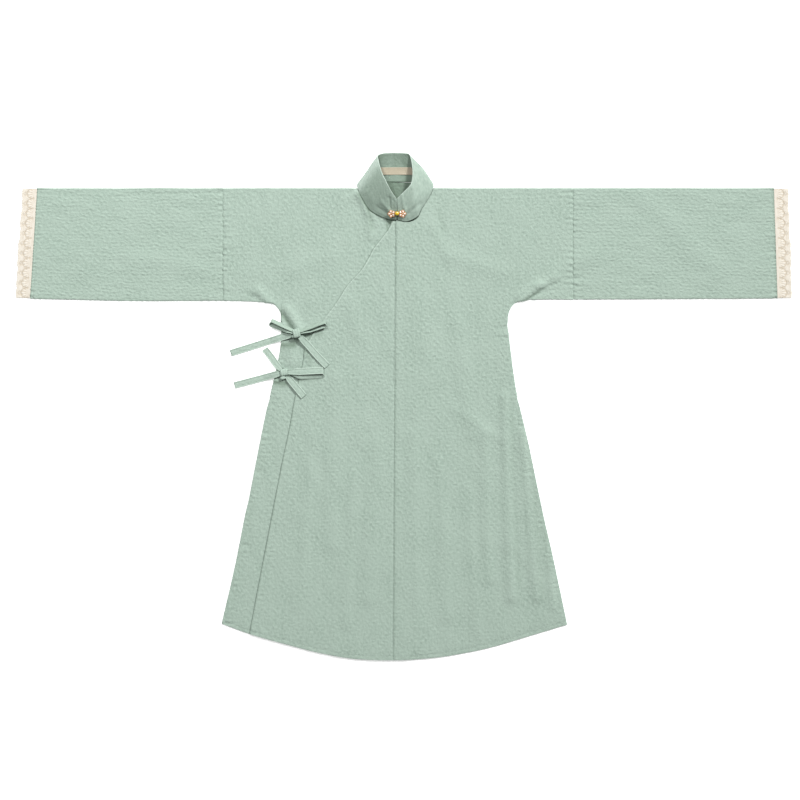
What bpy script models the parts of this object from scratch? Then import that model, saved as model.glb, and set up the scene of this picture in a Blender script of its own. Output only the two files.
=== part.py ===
"""A long hanfu shirt with a stand collar, laid flat. Left and right are the wearer's; lengths in the tables are millimetres.

The floor is z = 0 and the neck points to +y. Each cut piece is a middle surface made of rows and columns of points,
thickened to its wall. The back lies flat, the fronts lie over it, and the front overlap lies over the inner right front.
"""

import math

import bmesh
import bpy
import numpy as np

MM = 0.001
WALL = 1.2  # cloth, double at most seams
SEAM = 0.3  # gap left between two pieces sewn edge to edge
BACK_Z = WALL / 2  # middle of the back, flat on the floor
FRONT_Z = 3.0  # middle of a front that lies over the back
OVER = 2.1  # from the middle of the inner front to the middle of the overlap
SHOULDER_Y = 478.7
JOIN_Y = 180.0  # from here up a body piece widens into the sleeve root
SLIT_Y = 18.0  # the side seams are sewn from the underarm down to here
BACK_SEAM_X = -24.0
FOLD_STEPS = 4
COLLAR_WALL = 1.8
RIBBON_WIDTH, RIBBON_WALL = 14.5, 1.2
LACE_WALL, LACE_WIDTH, LACE_REPEATS = 1.0, 32.0, 11
CLASP_PLATE, BEAD_RADIUS = 1.8, 4.7

# The centre front seam and the edge of the inner front, as (y, x).
CENTRE = np.array([(410, -16.5), (-560, -22.0)])
INNER = np.array([(410, -32.0), (-560, -44.0)])
# The slanting edge and then the side edge of the overlap, as (y, x).
SLANT = np.array([(407, -25.3), (386, -36.3), (347.6, -66), (333, -73.7), (300, -93.5), (266, -124.3),
                  (231, -146.3), (199, -170.5), (160, -199), (138, -213), (125, -217.8), (95, -221.1), (23, -237.8),
                  (-44, -249.7), (-106, -262.9), (-161, -273.9), (-359, -312), (-497, -338.1)])
# The hem, as (x, y), right round the front.
HEM = np.array([(-400, -477.4), (-340, -499.4), (-263, -521.4), (-186, -541.2), (-109, -554.4), (-21, -557.7),
                (45, -554.4), (109, -546.7), (190, -530.2), (272, -506), (360, -479.6)])

LEFT = dict(
    inner=CENTRE + (0, SEAM / 2),
    side=np.array([(180, 227.2), (59, 242.2), (18, 250), (-2, 255.5), (-73, 272.6), (-117, 282), (-238, 307),
                   (-334, 329), (-480, 359.7)]),
    under=np.array([(227.2, 180), (228.6, 198), (231, 209.5), (236.2, 219.5), (244.5, 227.8), (257, 233.6),
                    (293.7, 236.5), (373, 236.5)]),
    neck=np.array([(-17, 409.2), (7.7, 404.6), (22, 408), (32.5, 416), (40.5, 433.4), (51, 450), (60.5, 466.4),
                   (66, SHOULDER_Y)]),
    back_neck=np.array([(58, 486.5), (30, 491.8), (BACK_SEAM_X + SEAM / 2, 493.2)]),
    inside=(2, 21, 31.5, 40, 50, 59.5, 66, 95, 127, 160, 195, 227.2),
    outside=(228.6, 231, 236.2, 244.5, 257, 284, 315, 345, 373 - SEAM / 2),
)
RIGHT = dict(
    inner=INNER,
    side=np.array([(180, -267.7), (143, -267.7), (105.6, -273), (63.8, -282.2), (18, -293.3), (-11, -301.5),
                   (-105.6, -320.6), (-202.4, -339.4), (-239.8, -348.2), (-352, -370.4), (-477, -399.3)]),
    under=np.array([(-397, 234.5), (-337.7, 232.3), (-294, 230), (-283, 225.7), (-275.2, 217.7), (-270.2, 207.5),
                    (-268.3, 196), (-267.7, 180)]),
    neck=np.array([(-102, SHOULDER_Y), (-91.3, 455.4), (-82, 441), (-72.4, 427.7), (-55, 418.5), (-38.5, 411.4),
                   (-32, 398)]),
    back_neck=np.array([(-94, 486.5), (-66, 491.8), (BACK_SEAM_X - SEAM / 2, 493.2)]),
    inside=(-41, -57, -74, -84, -93, -103.5, -130, -160, -190, -210, -225, -240, -254, -267.7),
    outside=(-268.3, -270.2, -275.2, -283, -294, -320, -350, -375, -397 + SEAM / 2),
)
BODY_ROWS_UP, BODY_ROWS_DOWN = 9, 18

# Sleeves: where the seam and the cuff lie (x at the top and at the bottom), and the lower edge as (x, y).
SLEEVES = {
    "left_sleeve": dict(seam=373 + SEAM / 2, cuff=(813.8, 821.7),
                        under=np.array([(373, 236.5), (520, 237.5), (822, 239)])),
    "right_sleeve": dict(seam=-397 - SEAM / 2, cuff=(-805.2, -820.6),
                         under=np.array([(-821, 238.6), (-600, 233.5), (-397, 234.5)])),
}
SLEEVE_COLUMNS, SLEEVE_ROWS = 13, 7

# Soft folds in the fronts: from (x0, y0) to (x1, y1), with a half width and a height.
FOLDS = (
    (-270, 205, -238, 152, 15, 2.6),
    (-322, 254, -292, 226, 14, 2.2),
    (259, 236, 300, 266, 13, 2.4),
    (300, 266, 332, 284, 13, 1.8),
    (-96, 470, -70, 424, 12, 2.2),
    (-70, 424, -64, 372, 13, 1.6),
    (222, 20, 236, -420, 16, 1.5),
    (262, -60, 292, -420, 15, 1.3),
    (178, -60, 186, -380, 18, 1.1),
    (110, 330, 205, 300, 26, 1.0),
    (-160, 330, -250, 300, 26, 1.0),
    (-540, 462, -700, 300, 30, 1.0),
    (520, 462, 690, 300, 30, 1.0),
    (-150, 60, -160, -300, 30, 0.9),
)

# The collar band, end to end round the neck: its sewn edge (b), its top edge (t), and how far it swells upwards and
# spreads outwards between them.
COLLAR = np.array([
    # bx     by     bz    tx     ty     tz   swell spread
    (-15.8, 410.6, 6.8, -18.7, 454.3, 22.0, 2.5, 0.0),
    (-37.6, 413.2, 5.6, -26.4, 469.7, 25.0, 3.5, 0.0),
    (-70.9, 429.5, 4.3, -37.4, 490.6, 25.0, 4.0, 0.0),
    (-89.9, 456.3, 3.7, -47.3, 511.5, 21.0, 4.0, 0.2),
    (-98.6, 475.0, 3.9, -53.9, 534.6, 15.0, 3.0, 0.6),
    (-101.6, 485.6, 2.9, -55.7, 549.5, 8.8, 1.0, 0.8),
    (-96.5, 490.2, 1.5, -46.0, 555.0, 3.8, 0.0, 0.6),
    (-64.0, 494.2, 1.1, -34.0, 556.3, 2.6, 0.0, 0.0),
    (-20.0, 495.0, 1.0, -20.9, 556.6, 2.4, 0.0, 0.0),
    (26.0, 494.4, 1.1, -7.7, 556.3, 2.6, 0.0, 0.5),
    (60.5, 490.4, 1.5, 4.0, 555.6, 3.8, 0.0, 3.0),
    (65.8, 485.6, 2.9, 12.5, 553.0, 8.8, 1.0, 3.8),
    (62.8, 475.0, 3.9, 17.5, 536.0, 15.0, 3.0, 3.6),
    (54.0, 457.0, 4.6, 20.0, 512.6, 21.0, 4.0, 1.5),
    (39.0, 434.5, 5.6, 17.6, 490.5, 25.0, 4.0, 0.0),
    (30.6, 418.0, 6.2, 11.5, 480.0, 26.0, 3.5, 0.0),
    (7.6, 406.8, 6.7, 1.1, 469.7, 25.0, 3.0, 0.0),
    (-12.4, 410.6, 6.8, -10.2, 455.0, 22.0, 2.5, 0.0),
])
NECK_CENTRE = (-18.0, 490.0)
COLLAR_ROWS = 6

# The ties. A knot is (x, y); a strip starts at `start` from it and runs towards its end, `up` above what it lies on.
# Next to the knot a tail is `lift` higher. A loop's lower strand strays sideways by `stray` before it turns back.
UPPER_KNOT, LOWER_KNOT = (-234.3, 160.6), (-261.8, 74.8)
TAILS = {
    # name                 knot        through (x, y)                                   up  start lift
    "upper_tie_left_tail": (UPPER_KNOT, ((-275, 150), (-330, 133), (-379.5, 117.5)), 0.3, 9.0, 2.2),
    "upper_tie_right_tail": (UPPER_KNOT, ((-212, 137), (-190, 112), (-168.5, 87.5)), 0.3, 9.0, 2.2),
    "lower_tie_left_tail": (LOWER_KNOT, ((-290, 68), (-330, 57.5), (-371.4, 46.6)), 0.3, 8.8, 2.2),
    "lower_tie_up_tail": (LOWER_KNOT, ((-277, 90), (-291, 109), (-305, 126.5)), 0.3, 9.2, 4.4),
    "lower_tie_down_tail": (LOWER_KNOT, ((-248, 57), (-233, 39), (-218.9, 22)), 0.6, 8.8, 2.2),
}
LOOPS = {
    # name                  knot        far end (x, y)   up  start rise stray
    "upper_tie_left_loop": (UPPER_KNOT, (-292.6, 188.5), 4.0, 9.7, 6.0, 3.0),
    "upper_tie_right_loop": (UPPER_KNOT, (-166.0, 182.5), 4.0, 9.7, 6.5, -11.0),
    "lower_tie_right_loop": (LOWER_KNOT, (-175.0, 75.5), 3.6, 8.9, 4.0, -4.0),
}
KNOTS = {"upper_tie_knot": (UPPER_KNOT, (8.7, 8.7, 4.8)), "lower_tie_knot": (LOWER_KNOT, (8.5, 8.0, 4.5))}
TAIL_SETTLE = 12.0

MATERIALS = {
    # name: colour, metallic, roughness
    "cloth": ((0.47, 0.60, 0.50, 1), 0.0, 0.85),
    "lace": ((0.86, 0.80, 0.70, 1), 0.0, 0.80),
    "label": ((0.78, 0.72, 0.58, 1), 0.0, 0.80),
    "gold": ((0.83, 0.62, 0.38, 1), 1.0, 0.30),
    "bead": ((0.85, 0.66, 0.10, 1), 0.0, 0.20),
}


def clear_scene():
    """Empty the scene."""
    for thing in list(bpy.data.objects):
        bpy.data.objects.remove(thing, do_unlink=True)


def at(table, value):
    """Second column of a table at values of its first column, which runs up or down."""
    rows = table[np.argsort(table[:, 0])]
    return np.interp(value, rows[:, 0], rows[:, 1])


def smooth(table, parts):
    """A smooth curve through the rows of a table, with `parts` steps between two rows."""
    rows = np.asarray(table, float)
    ends = np.vstack([2 * rows[0] - rows[1], rows, 2 * rows[-1] - rows[-2]])
    t = np.linspace(0, len(rows) - 1, (len(rows) - 1) * parts + 1)
    i = np.minimum(t.astype(int), len(rows) - 2)
    f = (t - i)[:, None]
    a, b, c, d = ends[i], ends[i + 1], ends[i + 2], ends[i + 3]
    return 0.5 * (2 * b + (c - a) * f + (2 * a - 5 * b + 4 * c - d) * f**2 + (3 * b - a - 3 * c + d) * f**3)


def folds(x, y):
    """Height of the soft folds: a rounded ridge along each row of FOLDS."""
    total = np.zeros(np.broadcast(x, y).shape)
    for x0, y0, x1, y1, half, height in FOLDS:
        run = np.hypot(x1 - x0, y1 - y0)
        ux, uy = (x1 - x0) / run, (y1 - y0) / run
        along = np.clip((x - x0) * ux + (y - y0) * uy, 0, run)
        off = np.hypot(x - x0 - along * ux, y - y0 - along * uy)
        total = total + height * np.exp(-((off / half) ** 2))
    return total


def front_z(x, y):
    """Middle height of a front: over the back, and lifted near the centre seam to the height of the overlap."""
    reach = np.clip((150 - (x - at(CENTRE, y))) / 150, 0, 1)
    lift = np.where(x > at(CENTRE, y) - 1, OVER * reach**2 * (3 - 2 * reach), 0)
    return FRONT_Z + lift + folds(x, y)


def flap_z(x, y):
    """Middle height of the overlap, which lies on the inner front."""
    return FRONT_Z + OVER + folds(x, y)


class Sheet:
    """A middle surface: points, the way out of the cloth at each point, and faces."""

    def __init__(self):
        self.points, self.ways, self.faces = [], [], []

    def add(self, points, ways):
        """Take in points with their ways out, and give their numbers in the same layout."""
        points = np.asarray(points, float)
        ways = np.broadcast_to(np.asarray(ways, float), points.shape)
        first = len(self.points)
        self.points.extend(points.reshape(-1, 3))
        self.ways.extend(ways.reshape(-1, 3))
        return np.arange(first, len(self.points)).reshape(points.shape[:-1])

    def weave(self, grid):
        """Faces between neighbouring rows and columns of point numbers."""
        a, b, c, d = grid[:-1, :-1], grid[:-1, 1:], grid[1:, 1:], grid[1:, :-1]
        self.faces.extend(map(tuple, np.stack([a, b, c, d], -1).reshape(-1, 4).tolist()))

    def fold(self, front, back, outward):
        """Join a row of front points to the row of back points under it with a half-round strip."""
        top, low = np.array(self.points)[front], np.array(self.points)[back]
        middle, radius = (top + low) / 2, (top - low)[:, 2] / 2
        flat = np.column_stack([outward, np.zeros(len(outward))])
        rows = [back]
        for step in range(1, FOLD_STEPS):
            turn = math.pi * step / FOLD_STEPS
            way = flat * math.sin(turn) + np.array([0, 0, -math.cos(turn)])
            rows.append(self.add(middle + way * radius[:, None], way))
        self.weave(np.array(rows + [front]))

    def solid(self, wall):
        """The closed mesh: the surface on both sides of the middle, and a wall along each open edge."""
        points, ways, count = np.array(self.points), np.array(self.ways), len(self.points)
        both = np.vstack([points + ways * wall / 2, points - ways * wall / 2])
        faces = [tuple(f) for f in self.faces] + [tuple(n + count for n in reversed(f)) for f in self.faces]
        edges = [(f[i], f[(i + 1) % len(f)]) for f in self.faces for i in range(len(f))]
        met = {}
        for a, b in edges:
            met[frozenset((a, b))] = met.get(frozenset((a, b)), 0) + 1
        faces += [(b, a, a + count, b + count) for a, b in edges if met[frozenset((a, b))] == 1]
        return both, faces


def make_object(name, points, faces, material, group):
    """A mesh object from points in millimetres, with outward normals."""
    mesh = bpy.data.meshes.new(name)
    build = bmesh.new()
    corners = [build.verts.new(p) for p in np.asarray(points) * MM]
    for face in faces:
        build.faces.new([corners[n] for n in face])
    bmesh.ops.remove_doubles(build, verts=build.verts, dist=1e-6)
    loose = [v for v in build.verts if not v.link_faces]
    bmesh.ops.delete(build, geom=loose, context="VERTS")
    bmesh.ops.recalc_face_normals(build, faces=build.faces)
    build.to_mesh(mesh)
    build.free()
    mesh.materials.append(material)
    thing = bpy.data.objects.new(name, mesh)
    group.objects.link(thing)
    return thing


def outward_of(chain, inside_point):
    """Unit normals in the plan along a row of points, pointing away from a point of the cloth."""
    run = np.gradient(chain[:, :2], axis=0)
    normal = np.column_stack([run[:, 1], -run[:, 0]])
    normal /= np.linalg.norm(normal, axis=1)[:, None]
    middle = len(chain) // 2
    sign = np.sign(np.dot(normal[middle], chain[middle, :2] - np.asarray(inside_point)))
    return normal * (sign or 1)


def body_half(cut):
    """One half of the body: the front in rows and columns, and the flat back under it, folded over at the shoulder."""
    sheet, up = Sheet(), (0, 0, 1)
    side_x = float(cut["inside"][-1])
    inside = np.array((at(cut["inner"], JOIN_Y),) + tuple(cut["inside"]))
    columns = np.concatenate([inside, cut["outside"]])
    neck_end = cut["neck"][np.argmax(cut["neck"][:, 1]), 0]
    u = np.clip((columns - inside[0]) / (side_x - inside[0]), 0, 1)
    lean = (at(cut["inner"], 410) - inside[0]) * (1 - u)
    shoulder = (columns + lean - neck_end) * np.sign(side_x) >= -0.01
    top = np.where(shoulder, SHOULDER_Y, at(cut["neck"], columns + lean))
    foot = np.where(np.abs(columns) <= abs(side_x) + 0.01, JOIN_Y, at(cut["under"], columns))
    v = np.linspace(0, 1, BODY_ROWS_UP + 1)[:, None]
    y = foot + (top - foot) * v
    x = columns + lean * v
    upper = sheet.add(np.stack([x, y, front_z(x, y)], -1), up)
    sheet.weave(upper)

    u = ((inside - inside[0]) / (side_x - inside[0]))[None, :]
    corner = cut["side"][np.argmin(cut["side"][:, 0])]
    hem_y = at(HEM, at(cut["inner"], -540) * (1 - u) + corner[1] * u)
    w = np.linspace(0, 1, BODY_ROWS_DOWN + 1)[1:, None]
    y = JOIN_Y + (hem_y - JOIN_Y) * w
    x = at(cut["inner"], y) * (1 - u) + at(cut["side"], y) * u
    lower = sheet.add(np.stack([x, y, front_z(x, y)], -1), up)
    skirt = np.vstack([upper[0, : len(inside)], lower])
    sheet.weave(skirt)

    points = np.array(sheet.points)
    shoulder_row = upper[-1, shoulder]
    under_row = upper[0, len(inside) :][::-1]
    side_row = skirt[:, -1]
    hem_row = skirt[-1, ::-1]
    hem_plan = points[hem_row, :2]
    hem_plan[-1, 0] = BACK_SEAM_X + (SEAM / 2 if neck_end > 0 else -SEAM / 2)
    back_plan = np.vstack([cut["back_neck"][::-1], points[shoulder_row, :2], points[under_row, :2],
                           points[side_row, :2], hem_plan[1:]])
    back = sheet.add(np.column_stack([back_plan, np.full(len(back_plan), BACK_Z)]), (0, 0, -1))
    sheet.faces.append(tuple(back.tolist()))

    first = len(cut["back_neck"])
    count = len(shoulder_row)
    sheet.fold(shoulder_row, back[first : first + count], np.tile((0.0, 1.0), (count, 1)))
    sewn = np.concatenate([under_row, side_row])
    sewn = sewn[points[sewn, 1] >= SLIT_Y]
    start = first + count
    sheet.fold(sewn, back[start : start + len(sewn)], outward_of(points[sewn], (inside[0], 100.0)))
    return sheet


def overlap_panel():
    """The overlap, from the slanting edge and the side edge to the centre seam."""
    sheet = Sheet()
    u = np.linspace(0, 1, 9)[None, :]
    turn_y = 125.0
    w_top = np.linspace(0, 1, 9)[:, None]
    edge_foot, seam_foot = at(SLANT, -500), at(CENTRE, -560) - SEAM / 2
    hem_y = at(HEM, edge_foot * (1 - u) + seam_foot * u)
    w_low = np.linspace(0, 1, 18)[1:, None]
    y = np.vstack([407 + (turn_y - 407) * w_top + 0 * u, turn_y + (hem_y - turn_y) * w_low])
    x = at(SLANT, y) * (1 - u) + (at(CENTRE, y) - SEAM / 2) * u
    sheet.weave(sheet.add(np.stack([x, y, flap_z(x, y)], -1), (0, 0, 1)))
    return sheet


def sleeve(cut):
    """A sleeve: a tube pressed flat, folded at the top and sewn underneath."""
    sheet = Sheet()
    u = np.linspace(0, 1, SLEEVE_COLUMNS)[None, :]
    v = np.linspace(0, 1, SLEEVE_ROWS + 1)[:, None]
    cuff = cut["cuff"][1] + (cut["cuff"][0] - cut["cuff"][1]) * v
    x = cut["seam"] + (cuff - cut["seam"]) * u
    y = at(cut["under"], x) + (SHOULDER_Y - at(cut["under"], x)) * v
    front = sheet.add(np.stack([x, y, front_z(x, y)], -1), (0, 0, 1))
    sheet.weave(front)
    points = np.array(sheet.points)
    top, low = front[-1], front[0]
    plan = np.vstack([points[top, :2], points[low[::-1], :2]])
    back = sheet.add(np.column_stack([plan, np.full(len(plan), BACK_Z)]), (0, 0, -1))
    sheet.faces.append(tuple(back.tolist()))
    count = len(top)
    sheet.fold(top, back[:count], np.tile((0.0, 1.0), (count, 1)))
    sheet.fold(low[::-1], back[count:], np.tile((0.0, -1.0), (count, 1)))
    return sheet


def lace_band(side, layer):
    """Half of a lace cuff, a scalloped band with two gaps cut through in each repeat of its pattern."""
    cut = SLEEVES[side + "_sleeve"]
    sign = 1 if side == "left" else -1
    along = np.array([0.0, 0.34, 0.64])
    out = np.array([0.0, 0.16, 0.34, 0.58, 0.77, 1.0])
    v = np.concatenate([(n + along) / LACE_REPEATS for n in range(LACE_REPEATS)] + [[1.0]])[:, None]
    b = out[None, :]
    low_y, high_y = 239.0, SHOULDER_Y
    y = low_y + (high_y - low_y) * v + 0 * b
    edge = cut["cuff"][1] + (cut["cuff"][0] - cut["cuff"][1]) * v
    wave = 1.6 * np.sin(math.pi * ((v * LACE_REPEATS) % 1.0)) * b**3
    x = edge + sign * (0.4 + (LACE_WIDTH - 1.6) * b + wave)
    if layer == "back":
        z = np.full(x.shape, LACE_WALL / 2)
    else:
        z = front_z(edge + 0 * b, y) + (2.0 - front_z(edge + 0 * b, y)) * b
    grid_sheet = Sheet()
    grid = grid_sheet.add(np.stack([x, y, z], -1), (0, 0, 1))
    for i in range(grid.shape[0] - 1):
        for j in range(grid.shape[1] - 1):
            if i % 3 == 1 and j in (1, 3):
                continue
            grid_sheet.faces.append((grid[i, j], grid[i, j + 1], grid[i + 1, j + 1], grid[i + 1, j]))
    return grid_sheet


def collar_points(rows=COLLAR_ROWS, parts=2):
    """The collar's middle surface: a smooth run of sections, each swelling outwards, and its unit normals (inwards)."""
    run = smooth(COLLAR, parts)
    v = np.linspace(0, 1, rows + 1)[None, :, None]
    surface = run[:, None, 0:3] * (1 - v) + run[:, None, 3:6] * v
    arch = (4 * v * (1 - v))[..., 0]
    surface[..., 2] += run[:, None, 6] * arch
    outwards = surface[:, :, :2] - NECK_CENTRE
    outwards /= np.linalg.norm(outwards, axis=-1)[..., None]
    surface[..., :2] += outwards * (run[:, None, 7] * arch)[..., None]
    along, across = np.gradient(surface, axis=0), np.gradient(surface, axis=1)
    normal = np.cross(along, across)
    normal /= np.linalg.norm(normal, axis=-1)[..., None]
    return surface, normal


def collar_band():
    """The stand collar."""
    sheet = Sheet()
    sheet.weave(sheet.add(*collar_points()))
    return sheet


def label_strip():
    """The bare label on the inside of the collar, made from the collar's points moved out."""
    surface, normal = collar_points(rows=12, parts=6)
    patch = (slice(6 * 6 + 5, 9 * 6 + 5, 3), slice(3, 7))
    lift = COLLAR_WALL / 2 + SEAM + 0.5
    sheet = Sheet()
    sheet.weave(sheet.add(surface[patch] + normal[patch] * lift, normal[patch]))
    return sheet


def cover(x, y):
    """Top of the cloth at a place: the overlap, else the inner front or the left front, else the floor."""
    inner = (x > at(RIGHT["side"], y) - 4) & (y > -480) & (y < 300)
    over = (x > at(SLANT, y)) & (y < 407)
    height = np.where(inner, front_z(x, y), -WALL / 2)
    return np.where(over, flap_z(x, y), height) + WALL / 2


def lie_on(plan, half, reach=12.0):
    """Heights for a strip along a plan path so that it clears what is under its whole width, without kinks."""
    run = np.gradient(plan, axis=0)
    across = np.column_stack([-run[:, 1], run[:, 0]])
    across /= np.linalg.norm(across, axis=1)[:, None]
    offsets = np.linspace(-half, half, 5)[:, None, None]
    spots = plan[None] + across[None] * offsets
    need = cover(spots[..., 0], spots[..., 1]).max(axis=0)
    walked = np.concatenate([[0], np.cumsum(np.hypot(*np.diff(plan, axis=0).T))])
    near = np.abs(walked[:, None] - walked[None, :])
    high = np.array([need[row <= reach].max() for row in near])
    weight = (near <= reach * 0.8).astype(float)
    return (weight @ high) / weight.sum(axis=1), across


def tail_strip(knot, through, up, start, lift):
    """A tail: a strip cut square at its end."""
    path = smooth(np.vstack([knot, through]), 5)
    walked = np.concatenate([[0], np.cumsum(np.hypot(*np.diff(path, axis=0).T))])
    steps = np.linspace(start, walked[-1], max(6, int(walked[-1] / 8)))
    plan = np.column_stack([np.interp(steps, walked, path[:, 0]), np.interp(steps, walked, path[:, 1])])
    height, across = lie_on(plan, RIBBON_WIDTH / 2)
    lift = lift * np.exp(-((steps - start) / TAIL_SETTLE) ** 2)
    middle = np.column_stack([plan, height + up + lift + RIBBON_WALL / 2])
    return strip(middle, np.column_stack([across, np.zeros(len(across))]), RIBBON_WIDTH)


def loop_strip(knot, end, up, start, rise, stray):
    """A loop: a strip that runs out from the knot, turns over and comes back above itself."""
    knot, end = np.array(knot), np.array(end)
    length = np.linalg.norm(end - knot)
    way = (end - knot) / length
    radius = rise / 2
    low = np.linspace(start, length - radius, 6)
    turn = np.linspace(-math.pi / 2, math.pi / 2, 7)[1:-1]
    plan_out = knot + way * low[:, None]
    height, across = lie_on(np.vstack([plan_out, end]), RIBBON_WIDTH / 2)
    base = height.max() + up + RIBBON_WALL / 2
    swell = np.sin(math.pi * np.clip((low - low[0]) / (low[-1] - low[0]), 0, 1) * 0.5)
    gap = 2.2 + (rise - 2.2) * swell
    lower = np.column_stack([low, np.full(len(low), base)])
    bend = np.column_stack([low[-1] + radius * np.cos(turn), base + radius + radius * np.sin(turn)])
    upper = np.column_stack([low[::-1], base + gap[::-1]])
    run = np.vstack([lower, bend, upper])
    aside = np.array((-way[1], way[0]))
    back = np.concatenate([np.zeros(len(lower)), np.linspace(0, 1, len(bend) + 2)[1:-1], np.ones(len(upper))])
    strays = stray * (run[:, 0] - start) / (length - start) * (1 - back)
    middle = np.column_stack([knot + way * run[:, :1] + aside * strays[:, None], run[:, 1]])
    sideways = np.tile((aside[0], aside[1], 0.0), (len(run), 1))
    return strip(middle, sideways, RIBBON_WIDTH)


def strip(middle, across, width):
    """A ribbon along a path: three points across, thickened along its own normal."""
    run = np.gradient(middle, axis=0)
    normal = np.cross(run, across)
    normal /= np.linalg.norm(normal, axis=1)[:, None]
    offsets = np.linspace(-0.5, 0.5, 3)[None, :, None] * width
    sheet = Sheet()
    sheet.weave(sheet.add(middle[:, None] + across[:, None] * offsets, normal[:, None]))
    return sheet


def blob(centre, half, rows=8, columns=14, power=0.75):
    """A rounded lump, squarer than an ellipsoid when `power` is under one: points and faces."""
    p = np.linspace(-math.pi / 2, math.pi / 2, rows + 1)[1:-1, None]
    q = np.linspace(0, 2 * math.pi, columns, endpoint=False)[None, :]

    def soft(value):
        return np.sign(value) * np.abs(value) ** power

    shape = np.stack([soft(np.cos(p)) * soft(np.cos(q)), soft(np.cos(p)) * soft(np.sin(q)), soft(np.sin(p)) + 0 * q], -1)
    points = np.vstack([shape.reshape(-1, 3), (0, 0, -1), (0, 0, 1)]) * half + centre
    ring = np.arange((rows - 1) * columns).reshape(rows - 1, columns)
    wide = np.column_stack([ring, ring[:, :1]])
    faces = list(map(tuple, np.stack([wide[:-1, :-1], wide[:-1, 1:], wide[1:, 1:], wide[1:, :-1]], -1).reshape(-1, 4)))
    low, high = (rows - 1) * columns, (rows - 1) * columns + 1
    faces += [(wide[0, i + 1], wide[0, i], low) for i in range(columns)]
    faces += [(wide[-1, i], wide[-1, i + 1], high) for i in range(columns)]
    return points, faces


def knot_lump(knot, half):
    """A tie's knot, on top of the cloth at its place."""
    spots = np.array(knot) + np.array([(0, 0), (half[0], 0), (-half[0], 0), (0, half[1]), (0, -half[1])])
    floor = cover(spots[:, 0], spots[:, 1]).max()
    return blob((knot[0], knot[1], floor + 0.3 + half[2]), half)


def clasp_half(side):
    """One half of the clasp: a five-lobed flower plate with a domed top, lying on its end of the collar."""
    surface, normal = collar_points(rows=12, parts=6)
    row = 2 if side == "right" else -3
    spot, way = surface[row, 3], -normal[row, 3]
    along = np.cross((0, 1, 0), way)
    along /= np.linalg.norm(along)
    across = np.cross(way, along)
    angle = np.linspace(0, 2 * math.pi, 40, endpoint=False)
    rim = 7.4 * (1 + 0.13 * np.cos(5 * (angle + (0 if side == "left" else math.pi))))
    centre = np.array((-14.3 + (11.9 if side == "left" else -11.9), 422.6, spot[2]))
    centre[2] += COLLAR_WALL / 2 + 1.7
    rings = ((1.0, 0.0), (1.0, 0.55), (0.72, 0.95), (0.3, 1.0))
    points = [centre]
    for share, height in rings:
        flat = (along * (np.cos(angle) * rim * share)[:, None] + across * (np.sin(angle) * rim * share)[:, None])
        points.extend(centre + flat + way * height * CLASP_PLATE)
    points.append(centre + way * CLASP_PLATE)
    count = len(angle)
    faces = [(0, 1 + (i + 1) % count, 1 + i) for i in range(count)]
    for k in range(len(rings) - 1):
        a = 1 + k * count
        faces += [(a + i, a + (i + 1) % count, a + count + (i + 1) % count, a + count + i) for i in range(count)]
    last = 1 + (len(rings) - 1) * count
    faces += [(last + i, last + (i + 1) % count, len(points) - 1) for i in range(count)]
    return np.array(points), faces


def clasp_bead():
    """The round bead between the two halves of the clasp."""
    surface, _ = collar_points(rows=12, parts=6)
    spot = (surface[0, 3] + surface[-1, 3]) / 2
    return blob((-14.3, 422.6, spot[2] + COLLAR_WALL / 2 + BEAD_RADIUS + 0.4), (BEAD_RADIUS,) * 3, 10, 18, 1.0)


def build_shirt():
    """Make each piece as its own object in a collection named for the shirt."""
    clear_scene()
    group = bpy.data.collections.new("hanfu_shirt")
    bpy.context.scene.collection.children.link(group)
    paint = {}
    for name, (colour, metallic, roughness) in MATERIALS.items():
        paint[name] = bpy.data.materials.new(name)
        paint[name].use_nodes = True
        surface = paint[name].node_tree.nodes["Principled BSDF"]
        surface.inputs["Base Color"].default_value = colour
        surface.inputs["Metallic"].default_value = metallic
        surface.inputs["Roughness"].default_value = roughness

    def put(name, sheet, wall, material):
        make_object(name, *sheet.solid(wall), paint[material], group)

    put("left_body", body_half(LEFT), WALL, "cloth")
    put("right_body", body_half(RIGHT), WALL, "cloth")
    put("front_overlap", overlap_panel(), WALL, "cloth")
    for name, cut in SLEEVES.items():
        put(name, sleeve(cut), WALL, "cloth")
    for side in ("left", "right"):
        for layer in ("front", "back"):
            put(f"{side}_lace_{layer}", lace_band(side, layer), LACE_WALL, "lace")
    put("collar", collar_band(), COLLAR_WALL, "cloth")
    put("neck_label", label_strip(), 1.0, "label")
    for name, row in TAILS.items():
        put(name, tail_strip(*row), RIBBON_WALL, "cloth")
    for name, row in LOOPS.items():
        put(name, loop_strip(*row), RIBBON_WALL, "cloth")
    for name, (knot, half) in KNOTS.items():
        make_object(name, *knot_lump(knot, half), paint["cloth"], group)
    for side in ("left", "right"):
        make_object(f"{side}_clasp", *clasp_half(side), paint["gold"], group)
    make_object("clasp_bead", *clasp_bead(), paint["bead"], group)


build_shirt()
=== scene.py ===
# %% [markdown]
# # A hanfu shirt, laid flat
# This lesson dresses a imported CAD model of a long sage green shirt. The CAD model gives the place, outline
# and height of every cut piece. Here each piece is made again as finer cloth, with creases, puckered seams,
# stitches, lace and a small metal clasp. Lengths in the tables are millimetres, and left and right are the
# wearer's.

# %% Load the frame
import math

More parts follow.
